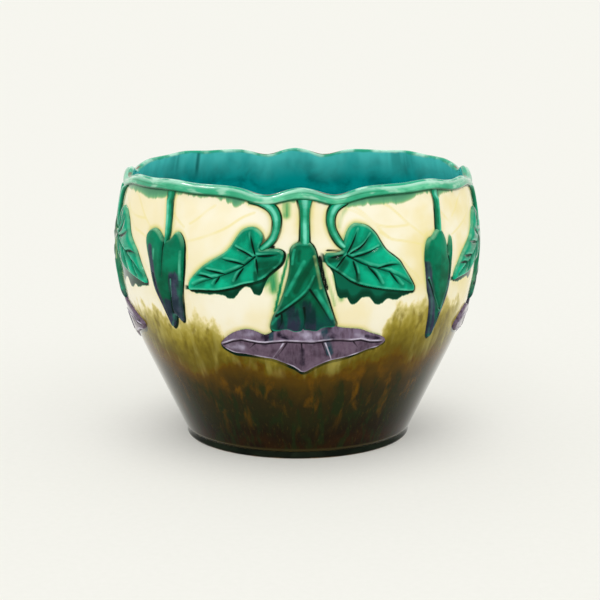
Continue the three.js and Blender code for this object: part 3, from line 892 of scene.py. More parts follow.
def greenGlaze(name):
    material, tree, colour = newGlaze(name, glance=greens["glance"])
    paint = greens[name]
    place = tree.place()
    edge = tree.mark("edge")
    broken = tree.uneven(place, 110, 0.36, 0.6, 0.35, 1.1)
    clouds = tree.cloud(place, 70, 0.36, 0.64)
    lit = tree.sum("MULTIPLY_ADD", tree.mark("bright"), 0.6, tree.times(clouds, 0.55))
    base = tree.mix(lit, tint(paint["plain"]), tint(paint["light"]))
    pools = tree.cloud(tree.stretch(place, shift=(3, 1, 2)), 38, 0.48, 0.66)
    base = tree.coat(base, tree.times(pools, 0.3), paint["dark"])
    base = tree.coat(base, tree.times(tree.range(tree.mark("hollow"), 0.15, 1), 0.45), paint["dark"])
    low = tree.times(tree.mark("low"), tree.uneven(place, 70, 0.3, 0.6, 0.4, 1))
    base = tree.coat(base, tree.times(low, 0.9), paint["deep"])
    streak = tree.uneven(tree.stretch(tree.flow(), (1, 1, 1.5)), 50, 0.34, 0.62, 0.7, 1.2)
    violet = tree.range(tree.times(tree.mark("violet"), streak), 0.25, 0.85)
    violets = tree.pair(clouds, paint["violets"])
    base = tree.mix(tree.times(violet, 0.88), base, violets)
    creamy = tree.times(tree.range(tree.mark("creamy"), 0.1, 1), broken, 0.7)
    base = tree.coat(base, creamy, greens["creamy"])
    # thin on the upper edges, where the ground shows through, and in a pale roll along the lower ones
    thin = tree.times(tree.range(edge, 2.2, 0.1), tree.mark("upper"), broken)
    base = tree.coat(base, tree.times(thin, 0.75), greens["thin"])
    roll = tree.times(tree.range(edge, 0.1, 0.6), tree.range(edge, 2.2, 1), tree.mark("lower"), broken)
    base = tree.coat(base, tree.times(roll, paint["edges"]), paint["pale"])
    # pale on ridges where the glaze runs thin; on the tube partly painted highlight
    ridge = tree.times(tree.range(tree.mark("ridge"), 0.2, 1), broken)
    base = tree.coat(base, tree.times(ridge, 0.65), paint["pale"])
    base = tree.coat(base, tree.times(tree.range(tree.mark("shade"), 0.15, 0.9), 0.72), greens["shade"])
    base = tree.coat(base, tree.range(tree.mark("groove"), 0.3, 0.9), greens["groove"])
    tree.feed(colour, base)
    return material


stemPaint = {
    # the crown colours are a painted highlight along the middle of each stem
    "shine": 0.12, "sides": ("#01784E", "#0C9C74"), "litCrowns": ("#36BC94", "#78DCBE"), "edge": "#0A6244",
}


def stemGlaze():
    material, tree, colour = newGlaze("stemGlaze", shine=stemPaint["shine"])
    place = tree.place()
    clouds = tree.cloud(place, 70, 0.35, 0.65)
    # painted highlight along the crown of the stem
    litCrown = tree.times(tree.mark("ridge"), tree.uneven(place, 60, 0.32, 0.6, 0.35, 1.1))
    base = tree.mix(litCrown, tree.pair(clouds, stemPaint["sides"]), tree.pair(clouds, stemPaint["litCrowns"]))
    edgeLine = tree.group(poolGroup, Vector=place, Gap=tree.mark("edge"), Width=0.4, Blur=0.6)["Mask"]
    tree.feed(colour, tree.coat(base, edgeLine, stemPaint["edge"]))
    return material


bellPaint = {
    "shine": 0.08, "glance": (0.6, 1, 0, 0.5), "clouds": ("#41303F", "#6A5668"), "streak": "#7B6A7C",
    "aboveLip": "#857690", "pale": "#BDB4CC", "dark": "#21182A", "teal": "#15424C", "ridge": "#CEC6DA",
    "groove": "#150C18",
}


def bellGlaze():
    material, tree, colour = newGlaze("bellGlaze", shine=bellPaint["shine"], glance=bellPaint["glance"])
    place = tree.place()
    streaks = tree.noise(tree.stretch(tree.flow(), (1, 1, 2.4)), 60, 3)
    streaks = tree.range(streaks, 0.36, 0.62, 0.15, 1.1, False)
    fine = tree.range(tree.noise(place, 130, 3), 0.36, 0.62, 0.2, 1.15, False)
    broken = tree.uneven(place, 60, 0.42, 0.58, 0.15, 1.05)
    base = tree.pair(tree.cloud(place, 70, 0.36, 0.66), bellPaint["clouds"])
    base = tree.coat(base, tree.times(streaks, 0.4), bellPaint["streak"])
    above = tree.times(tree.range(tree.mark("below"), 0, -2), streaks, 0.45)
    base = tree.coat(base, above, bellPaint["aboveLip"])
    for name, low, high, uneven, share in (
        ("pale", 0, 1, fine, 0.75), ("dark", 0.2, 0.85, fine, 0.9), ("teal", 0.3, 0.8, fine, 0.85),
        ("ridge", 0.25, 0.9, broken, 0.85), ("groove", 0.2, 0.75, 1, 0.95),
    ):
        strokes = tree.times(tree.range(tree.mark(name), low, high), uneven, share)
        base = tree.coat(base, strokes, bellPaint[name])
    tree.feed(colour, base)
    return material


print("glaze groups made")

leafMake = (leafField, greenGlaze("leafGlaze"), "leaf_glaze")
budMake = (budField, greenGlaze("budGlaze"), "bud_glaze")
stemMake = (stemField, stemGlaze(), "stem_glaze")
kinds = {  # what each kind of form is made from: its drawing, its field, its glaze and its slot
    "bell": (flowerBell, bellField, bellGlaze(), "flower_bell_glaze"),
    "tube": (flowerTube, tubeField, greenGlaze("tubeGlaze"), "flower_tube_glaze"),
    "leafLeft": (leaf["left"], *leafMake),
    "leafRight": (leaf["right"], *leafMake),
    "openBud": (openBud, *budMake),
    "closedBud": (closedBud, *budMake),
}
kinds.update({kind + "Stem": (stem, *stemMake) for kind, stem in stems.items()})
flatForms = {kind: flatForm(kind + "Form", form, field) for kind, (form, field, *_) in kinds.items()}
placed = []  # each form on the wall, its turn and its side


def wrapForm(kind, node, turn, side=1):
    form, _, material, slotName = kinds[kind]
    mesh = flatForms[kind].copy()
    mesh.name = node + "_glazed"
    across, height, proud = readPoints(mesh).T
    angle = turn + side * across / arcMm
    writePoints(mesh, onWall(angle, height, proud))
    addFlow(mesh, angle, height)
    if side < 0:
        mesh.flip_normals()
    showPiece(mesh.name, mesh, [material], slotName, node)
    placed.append((form, turn, side))


faces = {"front": 0, "right": 90, "back": 180, "left": 270}
faceForms = {  # the forms on a face by their nodes, and -1 for those left of its middle
    "flower_bell": ("bell", 1), "flower_tube": ("tube", 1), "flower_stem": ("flowerStem", 1),
    "leaf_left": ("leafLeft", -1), "leaf_stem_left": ("leafLeftStem", -1),
    "leaf_right": ("leafRight", 1), "leaf_stem_right": ("leafRightStem", 1),
}
corners = {
    "front_right": (45, "closedBud"), "back_right": (135, "openBud"),
    "back_left": (225, "closedBud"), "front_left": (315, "openBud"),
}

for face, turn in faces.items():
    for node, (kind, side) in faceForms.items():
        wrapForm(kind, f"{face}_{node}", turn, side)
for corner, (turn, kind) in corners.items():
    wrapForm(kind, corner + "_bud", turn)
    wrapForm(kind + "Stem", corner + "_bud_stem", turn)
print("raised forms on the wall")


# The bowl: one profile, spun, then given its waves and creases

def spunProfile(name, profile, turns, closed=False):
    bm = bmesh.new()
    verts = [bm.verts.new((radius * mm, 0, height * mm)) for radius, height in profile]
    pairs = zip(verts, verts[1:] + verts[:1]) if closed else zip(verts, verts[1:])
    edges = [bm.edges.new(pair) for pair in pairs]
    bmesh.ops.spin(
        bm, geom=verts + edges, cent=(0, 0, 0), axis=(0, 0, 1), dvec=(0, 0, 0),
        angle=2 * math.pi, steps=turns, use_merge=True,
    )
    bmesh.ops.remove_doubles(bm, verts=bm.verts, dist=1e-6)
    bmesh.ops.recalc_face_normals(bm, faces=bm.faces)
    mesh = bpy.data.meshes.new(name)
    bm.to_mesh(mesh)
    bm.free()
    return mesh


def polar(mesh):
    points = readPoints(mesh) / mm
    radius = np.hypot(points[:, 0], points[:, 1])
    angle = np.degrees(np.arctan2(points[:, 0], -points[:, 1]))
    return radius, angle, points[:, 2]


def shapeRound(mesh):  # gives a spun mesh the rim's waves and the creases down the corners
    radius, angle, height = polar(mesh)
    level = followRim(height, angle)
    radius = np.where(radius > 1, radius + wallRadius(angle, level) - profileRadius(height), radius)
    writePoints(mesh, roundAxis(radius, angle, level))


def wallThickness(height):
    return bowl["wall"] + (bowl["lip"] - bowl["wall"]) * smoothStep(height, bowl["belly"], lipCentre)


def innerRadius(height):
    return profileRadius(height) - wallThickness(height)


def bowlProfile():
    outer = np.concatenate((
        np.linspace(bowl["footTop"], bowl["coneTop"], bowl["rowsInCone"], endpoint=False),
        np.linspace(bowl["coneTop"], bowl["belly"], bowl["rowsToBelly"], endpoint=False),
        np.linspace(bowl["belly"], lipCentre, bowl["rowsToLip"]),
    ))
    around = np.linspace(0, math.pi, bowl["rowsRoundLip"] + 1)[1:-1]
    half = bowl["lip"] / 2
    floorHeight = bowl["footTop"] + bowl["floor"]
    filletTop = floorHeight + bowl["fillet"]
    inner = np.linspace(lipCentre, filletTop, bowl["rowsInside"])
    corner = innerRadius(floorHeight)
    gone = np.linspace(0, 1, bowl["rowsInFillet"] + 1)[1:]
    left = 1 - gone
    fillet = left**2 * innerRadius(filletTop) + 2 * gone * left * corner + gone**2 * (corner - bowl["fillet"])
    parts = (
        (bowl["underRings"], bowl["footTop"]),
        (profileRadius(outer), outer),
        (profileRadius(lipCentre) - half * (1 - np.cos(around)), lipCentre + half * np.sin(around)),
        (innerRadius(inner), inner),
        (fillet, floorHeight + left**2 * bowl["fillet"]),
        (bowl["floorRings"], floorHeight),
    )
    return [(float(radius), float(height)) for part in parts for radius, height in np.broadcast(*part)]


wall = spunProfile("bowl_wall_glazed", bowlProfile(), bowl["turns"])
radius, _, height = polar(wall)
inFrom = profileRadius(height) - bowl["insideShare"] * wallThickness(height)
isInside = (radius < inFrom) & (height > bowl["insideFrom"])
inLip = (height > lipCentre) & (radius > profileRadius(lipCentre) - bowl["lip"] - 0.01)
shapeRound(wall)
_, wallAngle, wallHeight = polar(wall)
print("bowl spun with", len(wall.vertices), "points")


# What lies near each point of the wall, for the glazes that run, pool and fade there

ghostLines = [  # faint leaf lines pressed into the ground
    [(55, 211.2), (67.5, 209.6), (76.5, 202.7), (85.8, 193.9), (94.7, 187.6), (101.7, 182.3)],
    [(34.9, 207.6), (44.3, 203.7), (55.6, 196), (63.3, 188.4), (71.3, 182.3)],
    [(40.6, 209.2), (51.1, 201.7), (57.6, 194.2), (70.9, 191.5), (86.7, 192)],
    [(61.2, 188.6), (70.2, 182.4), (82.2, 180.5), (98.6, 176.2)],
    [(98.6, 176.2), (99.4, 167), (101, 157.2)],
    [(78.3, 167.1), (85.2, 159.9), (93.8, 153.3), (99.5, 145.9)],
    [(101.7, 182.3), (104.7, 184.7), (112.4, 185.5)],
    [(-92.4, 179.1), (-79.1, 183), (-63.7, 188.8), (-54.1, 193.8), (-45.7, 200.3), (-35.3, 204.3)],
    [(-89, 193.1), (-80.5, 198.3), (-74.5, 204.1), (-67.5, 208.1)],
    [(-91.1, 177.4), (-89.6, 166.5)],
    [(-110, 205), (-102, 196), (-94, 190)],
]
stains = [  # green that has run between the flower and its leaves: a line, its half width and its strength
    ([(-9, 174), (-11.6, 163), (-14.4, 151.4), (-16.8, 141.3), (-19.4, 130.2)], 1.4, 1.1),
    ([(-25, 163), (-25.6, 154)], 7, 0.95), ([(-21.5, 160), (-20.6, 148)], 7, 0.8),
    ([(-18.4, 150), (-19.4, 132)], 5, 0.5),
    ([(16, 168), (19, 156), (22.6, 145), (25.6, 135)], 2.4, 0.6), ([(25.6, 158), (28.6, 146)], 3, 0.9),
    ([(-11, 212), (-11, 203)], 4.4, 0.86), ([(35, 207), (30.6, 202), (29, 194)], 3, 0.5),
    ([(28, 150), (30, 140)], 4, 0.7),
]
blots = [  # nearly black marks where the leaf stems meet the leaves, and along the right of the flower tube
    ([(-22.4, 179.8), (-20.4, 179.4)], 1.7), ([(19, 176.8), (29, 176.2)], 0.9),
    ([(14, 172), (16, 160), (19.4, 148)], 1.5),
]
vineRuns = [  # lower edge of the green that has run from the vine
    (-228, 207), (-200, 211), (-180, 209.4), (-157, 210.2), (-138.7, 206.6), (-125.2, 208.8), (-115.5, 210.2),
    (-110, 213.8), (-100, 213.8), (-92.6, 214.2), (-82.3, 213), (-68.5, 213.8), (-59.6, 211.6),
    (-53.4, 209.6), (-50.2, 206.6), (-47, 209.4), (-38, 210.4), (-30, 210), (-24, 208.4), (-16, 211),
    (-7, 212.4), (8, 213), (16, 211), (27, 208.4), (34.2, 207.4), (45, 208.6), (60, 208.6), (75, 208.2),
    (84, 208), (97.4, 212), (106, 213.6), (116, 213), (126.9, 208.6), (134, 211.6), (143.2, 212), (160, 213),
    (180, 211), (200, 211), (228, 207),
]
leafRuns = [  # lower edge of the green that has run from the leaves
    (-92, 142.6), (-87.3, 142), (-80.2, 140), (-71.4, 140.4), (-62.9, 141.6), (-58.4, 141), (-56.6, 139),
    (-52, 138.6), (-49, 140), (-46.6, 144.4), (-43, 148), (-38.9, 149.2), (-36.6, 147.4), (-35.4, 143),
    (-31.6, 142), (-29, 144), (-27.6, 149), (-24, 156), (-20, 161), (-12, 170), (17, 170), (22, 163),
    (24.4, 158), (25.8, 147), (27.4, 141), (32, 139.6), (34, 140.4), (35, 140.6), (36.4, 137), (38.4, 134.4),
    (41.8, 134.6), (44, 137.6), (47, 139.8), (51, 139.8), (54.1, 138.6), (56.4, 134.6), (59, 133),
    (63.4, 133.4), (66.4, 136.6), (69.6, 137.4), (72.6, 135.6), (76.6, 135.4), (80, 137.6), (90.6, 139),
    (94, 140),
]
leafFoot = [  # lower edge of the leaves
    (-89, 142), (-84.7, 142.9), (-63.1, 144.1), (-50.2, 147.3), (-43.1, 150.3), (-33.7, 152), (-27.5, 154.8),
    (-21.4, 160.6), (-15.4, 165.1), (-12, 172), (17, 172), (18.6, 167), (22.5, 163.5), (29.1, 159.4),
    (36.8, 153.1), (44.7, 149.7), (53.9, 147.1), (64.5, 144.7), (78, 142.3), (91, 141),
]
creamEdge = [  # lower edge of the cream
    (-228, 97), (-200, 99), (-185, 110), (-172, 118), (-160, 119.4), (-139.6, 126), (-127.2, 121),
    (-115.4, 117), (-104, 116), (-97.2, 120), (-88, 127), (-82, 122), (-74, 118.7), (-69.1, 120.7),
    (-64, 110), (-56, 110), (0, 108), (52, 111), (64, 108), (69.1, 115.7), (74.7, 127.3), (80.7, 130.6),
    (88.3, 132.2), (98.5, 132.5), (105.8, 129.1), (115, 126), (130, 127), (145, 128), (160, 124), (172, 118),
    (185, 110), (200, 99), (228, 97),
]
brownEdge = [  # where the olive has turned brown
    (-228, 74), (-180, 80), (-150, 78), (-125, 76), (-105, 68), (-94, 66), (-84, 72), (-70, 76), (-52, 81),
    (-30, 76), (0, 69), (24, 74), (48, 80), (72, 82), (92, 80), (110, 74), (130, 78), (150, 78), (180, 80),
    (228, 74),
]


def acrossTable(table, across):
    table = smoothed(table)
    return np.interp(across, table[:, 0], table[:, 1])


wallMarks = {
    "lowest": 66,  # what is raised, and what runs from it, stays above this
    "reach": 14,  # how far from what is raised the gap is measured
    "far": 60,
    "poolShadowSide": (-0.8, 0.8),  # dark glaze gathers below what is raised and to its right
    "sunnyWidth": 17,
    "vineDrop": 8,  # from the rim to the lower side of the vine
    "crease": 140.6,  # angle of a crease in the glaze inside, left of the middle of the front
}


def nearWall(form, angle, height, turn, side, shift=(0, 0)):
    across = (angle - turn + 180) % 360 - 180
    across = side * (across * arcMm + shift[0])  # each form is drawn as if it lay right of its face
    points = np.stack((across, height + shift[1]), axis=-1)
    low, high = formBox(form)
    close = np.all((points > low - wallMarks["reach"]) & (points < high + wallMarks["reach"]), axis=1)
    gap = np.full(len(points), float(wallMarks["reach"]))
    if close.any():
        gap[close] = -formEdge(form, points[close])
    return gap


def acrossTwo(angle):  # along two faces: the runs differ on the next face, and repeat on the far side
    return ((angle + 90) % 180 - 90) * arcMm


def markWall(mesh):
    outer = ~isInside & (wallHeight > wallMarks["lowest"])
    angle, height = wallAngle[outer], wallHeight[outer]
    gap = np.full(len(angle), float(wallMarks["reach"]))
    poolAndShadow = gap.copy()
    for form, turn, side in placed:
        here = nearWall(form, angle, height, turn, side)
        gap = np.minimum(gap, here)
        # measured from a shifted place, the pool lies mostly below and right of a form: pooled glaze and
        # painted shadow
        if "outline" in form:
            here = nearWall(form, angle, height, turn, side, form.get("poolShadowSide", wallMarks["poolShadowSide"]))
        poolAndShadow = np.minimum(poolAndShadow, here)
    across = (angle - 2 * halfFace * np.round(angle / (2 * halfFace))) * arcMm
    points = np.stack((across, height), axis=-1)
    wide = acrossTwo(angle)
    sunnySide = smoothStep(wide, 36, 100) * (1 - smoothStep(wide, 170, 220))
    sunnyTop = hump(across, wallMarks["sunnyWidth"]) * smoothStep(height, 172, 186)
    marks = {  # each with what it is elsewhere
        "gap": (gap, wallMarks["reach"]),
        "poolAndShadow": (poolAndShadow, wallMarks["reach"]),
        "sunny": (np.maximum(sunnySide, sunnyTop), 0),
        "belowVine": (followRim(bowl["rim"] - wallMarks["vineDrop"], angle) - height, wallMarks["far"]),
        "vineRun": (height - acrossTable(vineRuns, wide), -wallMarks["far"]),
        "leafRun": (height - acrossTable(leafRuns, across), -wallMarks["far"]),
        "belowLeaf": (acrossTable(leafFoot, across) - height, wallMarks["far"]),
        "leafSpan": (smoothStep(np.abs(across), 13, 17) * (1 - smoothStep(np.abs(across), 91, 94)), 0),
        "ghost": (np.minimum(nearestLine(points, ghostLines), wallMarks["reach"]), wallMarks["reach"]),
        "stain": (painted(points, stains), 0),
        "blot": (painted(points, blots), 0),
    }
    for name, (values, elsewhere) in marks.items():
        everywhere = np.full(len(wallHeight), float(elsewhere))
        everywhere[outer] = values
        addMark(mesh, name, everywhere)
    addMark(mesh, "belowCream", acrossTable(creamEdge, acrossTwo(wallAngle)) - wallHeight)
    addMark(mesh, "belowBrown", acrossTable(brownEdge, acrossTwo(wallAngle)) - wallHeight)
    rim = followRim(bowl["rim"], wallAngle)
    addMark(mesh, "inward", np.where(isInside, rim - wallHeight, wallHeight - rim))
    addMark(mesh, "dipped", (bowl["rim"] - rim) / bowl["dip"])
    addMark(mesh, "corner", np.abs(fromFace(wallAngle) - halfFace) * arcMm)
    addMark(mesh, "fold", np.abs(wallAngle + wallMarks["crease"]) * arcMm)
    addFlow(mesh, wallAngle, wallHeight)


markWall(wall)
print("wall marked")


ground = {
    "ripple": 28,
    "creams": ("#FBF5DE", "#F8ECC2"),
    "sunny": "#F2E19C",
    "ghost": "#F3E59E",
    "halo": "#EBDB80",
    "fringe": "#B9D08C",
    "olive": [
        (0, "#F2E4AE"), (0.08, "#D6C880"), (0.2, "#B0A14A"), (0.36, "#96872E"), (0.54, "#7A6C1E"),
        (0.74, "#665812"), (0.88, "#664C04"), (1, "#573A02"),
    ],
    "oliveStreak": "#BFB566",
    "oliveShade": "#5F4F10",
    "brown": [
        (0, "#64500A"), (0.1, "#563F0A"), (0.22, "#40300A"), (0.36, "#2E260C"), (0.6, "#22220C"),
        (0.78, "#1E1406"), (0.9, "#2C1904"), (1, "#1C1004"),
    ],
    "amber": "#6E4A06",
    "moss": "#1B2A0E",
    "fleck": "#4E4010",
    "lowest": "#453C1A",
    "stain": [(0, "#F6E8A6"), (0.36, "#D9DA90"), (0.6, "#9CC274"), (0.82, "#429C62"), (1, "#077A50")],
    "vineRun": [(0, "#E6DE9E"), (0.2, "#A9C88A"), (0.42, "#55A873"), (0.75, "#2E9468"), (1, "#1B8A62")],
    "leafRun": [
        (0, "#B4C680"), (0.08, "#1F7A58"), (0.16, "#023E2A"), (0.5, "#013A26"), (0.8, "#034C36"),
        (1, "#056248"),
    ],
    # pooled glaze round what is raised, and painted shadow below and right of it
    "poolAndShadow": "#02200F",
    "blot": "#02140C",
    # painted shadow under the vine
    "underVine": "#0A4F34",
}


def paintCream(tree, place):  # yellower where it has gathered along lines and round what is raised
    base = tree.pair(tree.cloud(place, 13, 0.42, 0.68), ground["creams"])
    patchy = tree.range(tree.noise(place, 26, 3), 0.34, 0.64, 0.1, 1)
    base = tree.coat(base, tree.times(tree.mark("sunny"), patchy, 0.8), ground["sunny"])
    faint = tree.range(tree.noise(place, 50), 0.3, 0.6, 0.3, 0.8)
    base = tree.coat(base, tree.times(tree.range(tree.mark("ghost"), 1.7, 0.1), faint), ground["ghost"])
    gap = tree.mark("gap")
    base = tree.coat(base, tree.times(tree.range(gap, 5, 0.4), patchy, 0.8), ground["halo"])
    return tree.coat(base, tree.times(tree.range(gap, 2, 0.3), 0.7), ground["fringe"])


def paintOlive(tree, flow, base, billow, melt):  # clouds of olive below the cream
    puffs = tree.swing(tree.stretch(flow, (1, 1, 5.4)), 27, 4)
    wander = tree.sum("ADD", tree.sum("ADD", billow, puffs), tree.range(melt, *noiseSpan, -0.4, 0.4, False))
    fromCream = tree.sum("ADD", tree.mark("belowCream"), wander)
    depth = tree.sum("SUBTRACT", tree.mark("belowCream"), tree.mark("belowBrown"))
    olive = tree.ramp(tree.sum("DIVIDE", fromCream, depth), ground["olive"])
    base = tree.mix(tree.range(fromCream, -4, 2), base, olive)
    inOlive = tree.times(tree.range(fromCream, 2, 10), tree.range(tree.mark("belowBrown"), 4, -10))
    streaks = tree.range(tree.noise(tree.stretch(flow, (1, 1, 2), (2, 5, 0)), 13, 2, 0.5, 0.3), 0.5, 0.7)
    base = tree.coat(base, tree.times(streaks, inOlive, 0.35), ground["oliveStreak"])
    shades = tree.range(tree.noise(tree.stretch(flow, (1, 1, 3.4), (7, 1, 0)), 15, 3, 0.55), 0.5, 0.68)
    return tree.coat(base, tree.times(shades, inOlive, 0.6), ground["oliveShade"])


def paintBrown(tree, flow, base, billow):  # with amber and mossy places
    below = tree.sum("ADD", tree.mark("belowBrown"), tree.range(billow, -8, 8, -6, 6, False))
    inBrown = tree.range(below, -6, 4)
    base = tree.mix(inBrown, base, tree.ramp(tree.range(below, -8, 72, smooth=False), ground["brown"]))
    amber = tree.cloud(tree.stretch(flow, (1, 1, 4), (4, 2, 0)), 9, 0.52, 0.72)
    base = tree.coat(base, tree.times(amber, inBrown, tree.range(below, 60, 24), 0.85), ground["amber"])
    moss = tree.cloud(tree.stretch(flow, (1, 1, 3), (1, 7, 0)), 15, 0.48, 0.64)
    base = tree.coat(base, tree.times(moss, tree.range(below, 2, 14), 0.7), ground["moss"])
    fleck = tree.range(tree.noise(tree.stretch(flow, (1, 1, 4)), 60, 3, 0.6), 0.56, 0.7)
    base = tree.coat(base, tree.times(fleck, tree.range(below, 0, 10), 0.25), ground["fleck"])
    return tree.coat(base, tree.times(tree.range(tree.height(), 0.0098, 0.0078), 0.7), ground["lowest"])


def paintRuns(tree, flow, base, melt):  # green that has run between the stems and off the vine and the leaves
    stain = tree.times(tree.mark("stain"), tree.range(melt, 0.3, 0.6, 0.75, 1.1, False))
    base = tree.mix(tree.range(stain, 0.05, 0.8), base, tree.ramp(stain, ground["stain"]))
    drawnOut = tree.stretch(flow, (1, 1, 0.5))
    slow = tree.range(tree.noise(drawnOut, 9, 1), 0.4, 0.6, 0.1, 1.2, False)
    vineRun = tree.sum("ADD", tree.mark("vineRun"), tree.times(tree.swing(drawnOut, 38, 1.8), slow))
    vineColour = tree.ramp(tree.range(vineRun, -1, 5, smooth=False), ground["vineRun"])
    base = tree.mix(tree.times(tree.range(vineRun, -0.8, 0.8), 0.92), base, vineColour)
    scallop = tree.swing(tree.stretch(flow, (1, 1, 1.2)), 42, 0.5, 1)
    leafRun = tree.sum("ADD", tree.mark("leafRun"), scallop)
    leafColour = tree.ramp(tree.range(leafRun, -0.5, 8, smooth=False), ground["leafRun"])
    underLeaf = tree.range(tree.mark("belowLeaf"), -5, -3)
    share = tree.times(tree.range(leafRun, -0.7, 0.6), underLeaf, tree.mark("leafSpan"))
    return tree.mix(share, base, leafColour)


def paintPoolsAndShadows(tree, place, base):  # dark glaze round what is raised, heavier in places, shifted below and right of it as painted shadow; nearly black marks; painted shadow under the vine
    spread = tree.stretch(place, (0.5, 0.5, 0.5))
    poolAndShadow = tree.group(poolGroup, Vector=spread, Gap=tree.mark("poolAndShadow"), Width=1.05, Blur=0.9)["Mask"]
    heavier = tree.range(tree.noise(place, 30), 0.34, 0.5, 0.5, 1)
    base = tree.coat(base, tree.times(poolAndShadow, heavier), ground["poolAndShadow"])
    base = tree.coat(base, tree.range(tree.mark("blot"), 0.25, 0.75), ground["blot"])
    # painted shadow: a dark band just under the vine
    broken = tree.range(tree.noise(place, 40), 0.3, 0.6, 0.5, 1)
    underVine = tree.times(tree.range(tree.mark("belowVine"), 1.5, 0.2), broken, 0.85)
    return tree.coat(base, underVine, ground["underVine"])


def groundGlaze():
    material, tree, colour = newGlaze("groundGlaze", ripple=ground["ripple"])
    place = tree.place()
    flow = tree.flow()
    billow = tree.swing(tree.stretch(flow, (1, 1, 5.4)), 9, 5.5, 2, 0.5, 0.4)
    melt = tree.noise(tree.stretch(flow, (1, 1, 1.4)), 22, 3, 0.55)
    base = paintOlive(tree, flow, paintCream(tree, place), billow, melt)
    base = paintRuns(tree, flow, paintBrown(tree, flow, base, billow), melt)
    tree.feed(colour, paintPoolsAndShadows(tree, place, base))
    return material


inside = {
    "ripple": 18,
    "teals": ("#00AEAC", "#00807E"),
    # paler towards the rim: partly the glaze, partly painted reflection and light
    "paleRimAndSheen": "#5CE0DA",
    "run": "#04726A",
    "crease": "#035E58",
    "rims": ("#2FAE88", "#B4ECD2"),
    "worn": "#7D5A4A",
}


def insideGlaze():
    material, tree, colour = newGlaze("insideGlaze", ripple=inside["ripple"])
    place = tree.place()
    flow = tree.flow()
    inward = tree.mark("inward")
    # the clouds that follow the wall would run together on the floor, which has its own
    wallTeal = tree.pair(tree.cloud(tree.stretch(flow, (1, 1, 8)), 6, 0.36, 0.66), inside["teals"])
    floorTeal = tree.pair(tree.cloud(place, 24, 0.36, 0.66), inside["teals"])
    teal = tree.mix(tree.range(tree.height(), 0.06, 0.025), wallTeal, floorTeal)
    # paler towards the rim: partly the glaze, partly painted reflection and light
    paleRimAndSheen = tree.uneven(tree.stretch(flow, (1, 1, 3)), 8, 0.3, 0.6, 0.6, 1.1)
    teal = tree.coat(teal, tree.times(tree.range(inward, 30, 2), paleRimAndSheen), inside["paleRimAndSheen"])
    runs = tree.range(tree.noise(tree.stretch(flow, (1, 1, 0.5)), 13), 0.5, 0.64)
    nearCorner = tree.range(tree.mark("corner"), 26, 10)
    teal = tree.coat(teal, tree.times(runs, tree.range(inward, 26, 6), nearCorner, 0.4), inside["run"])
    crease = tree.times(tree.range(tree.mark("fold"), 3.2, 0.4), tree.range(inward, 28, 14), 0.75)
    teal = tree.coat(teal, crease, inside["crease"])
    wobble = tree.swing(place, 60, 0.8)
    rim = tree.pair(tree.range(tree.noise(place, 55, 3), 0.4, 0.62), inside["rims"])
    base = tree.mix(tree.range(tree.sum("ADD", inward, wobble), 1.2, 3.4), rim, teal)
    crest = tree.sum("ABSOLUTE", tree.sum("ADD", inward, tree.times(wobble, 0.5)))
    dipped = tree.sum("ADD", tree.mark("dipped"), tree.range(tree.noise(place, 30), 0.4, 0.7, -0.1, 0.4))
    worn = tree.times(tree.range(crest, 0.55, 0.1), tree.range(dipped, 0.5, 0.9), 0.85)
    tree.feed(colour, tree.coat(base, worn, inside["worn"]))
    return material


def coatWall(mesh):  # the first glaze outside, the second inside and on the lip
    loopVertices = np.zeros(len(mesh.loops), np.int32)
    mesh.loops.foreach_get("vertex_index", loopVertices)
    starts = np.zeros(len(mesh.polygons), np.int32)
    mesh.polygons.foreach_get("loop_start", starts)
    inner = (isInside | inLip)[loopVertices[starts]]
    mesh.polygons.foreach_set("material_index", inner.astype(np.int32))


showPiece("bowl_wall_glazed", wall, [groundGlaze(), insideGlaze()], "ground_glaze", "bowl_wall")
coatWall(wall)
print("bowl glazed")


vine = {
    "drop": 1.2,
    "height": 6.8,
    "proud": 3,
    "turns": 720,
    "points": 26,
    "sink": 1.2,
    "swellWidth": 3,  # degrees from a face's middle over which it is thicker
    "seamWidth": 0.13,
    "seamDepth": 0.55,
    "knuckleWidth": 1.6,
    "shine": 0.14,
    "patches": ("#35AC80", "#68CC9E"),
    "streak": "#B8E6CC",
    "darkStreak": "#2C9A70",
    # painted highlight along the top of the roll
    "litCrown": "#BCEBD6",
    "seam": "#2A8A62",
    # painted shade along the lower side of the roll
    "under": "#085A3A",
}


def wave(angle, count, start=0):  # so many waves round the pot
    return np.sin(np.radians(angle * count + start))


def vineRing():
    half = vine["height"] / 2
    middle = bowl["rim"] - vine["drop"] - half
    inner = float(profileRadius(middle))
    turns = np.linspace(-math.pi / 2, math.pi / 2, vine["points"])
    front = [(inner + vine["proud"] * math.cos(turn), middle + half * math.sin(turn)) for turn in turns]
    back = [(radius - vine["sink"], height) for radius, height in (front[-1], front[0])]
    mesh = spunProfile("rim_vine_glazed", front + back, vine["turns"], closed=True)
    radius, angle, height = polar(mesh)
    out = radius - inner
    up = (height - middle) / half
    away = fromFace(angle)
    waves = 0.5 * wave(angle, 7, 40) + 0.5 * wave(angle, 17, 100)
    thick = 1 + 0.1 * waves + 0.12 * hump(away, vine["swellWidth"])
    seam = 0.1 + 0.32 * wave(angle, 4, 60) + 0.12 * wave(angle, 11)
    seamDepth = vine["seamDepth"] * hump(up - seam, vine["seamWidth"]) * (0.5 + 0.5 * wave(angle, 5, 20))
    knuckle = hump(np.minimum(away, halfFace - away), vine["knuckleWidth"])
    uneven = out * (0.9 + 0.06 * waves + 0.1 * knuckle) - seamDepth * out / vine["proud"]
    level = followRim(middle + up * thick * half, angle)
    radius = wallRadius(angle, level) + np.where(out > 0, uneven, out)
    writePoints(mesh, roundAxis(radius, angle, level))
    addMark(mesh, "edge", (1 - np.abs(up)) * half)
    addMark(mesh, "up", up)
    addMark(mesh, "seam", seamDepth)
    addFlow(mesh, angle, level - followRim(middle, angle) + middle)
    return mesh


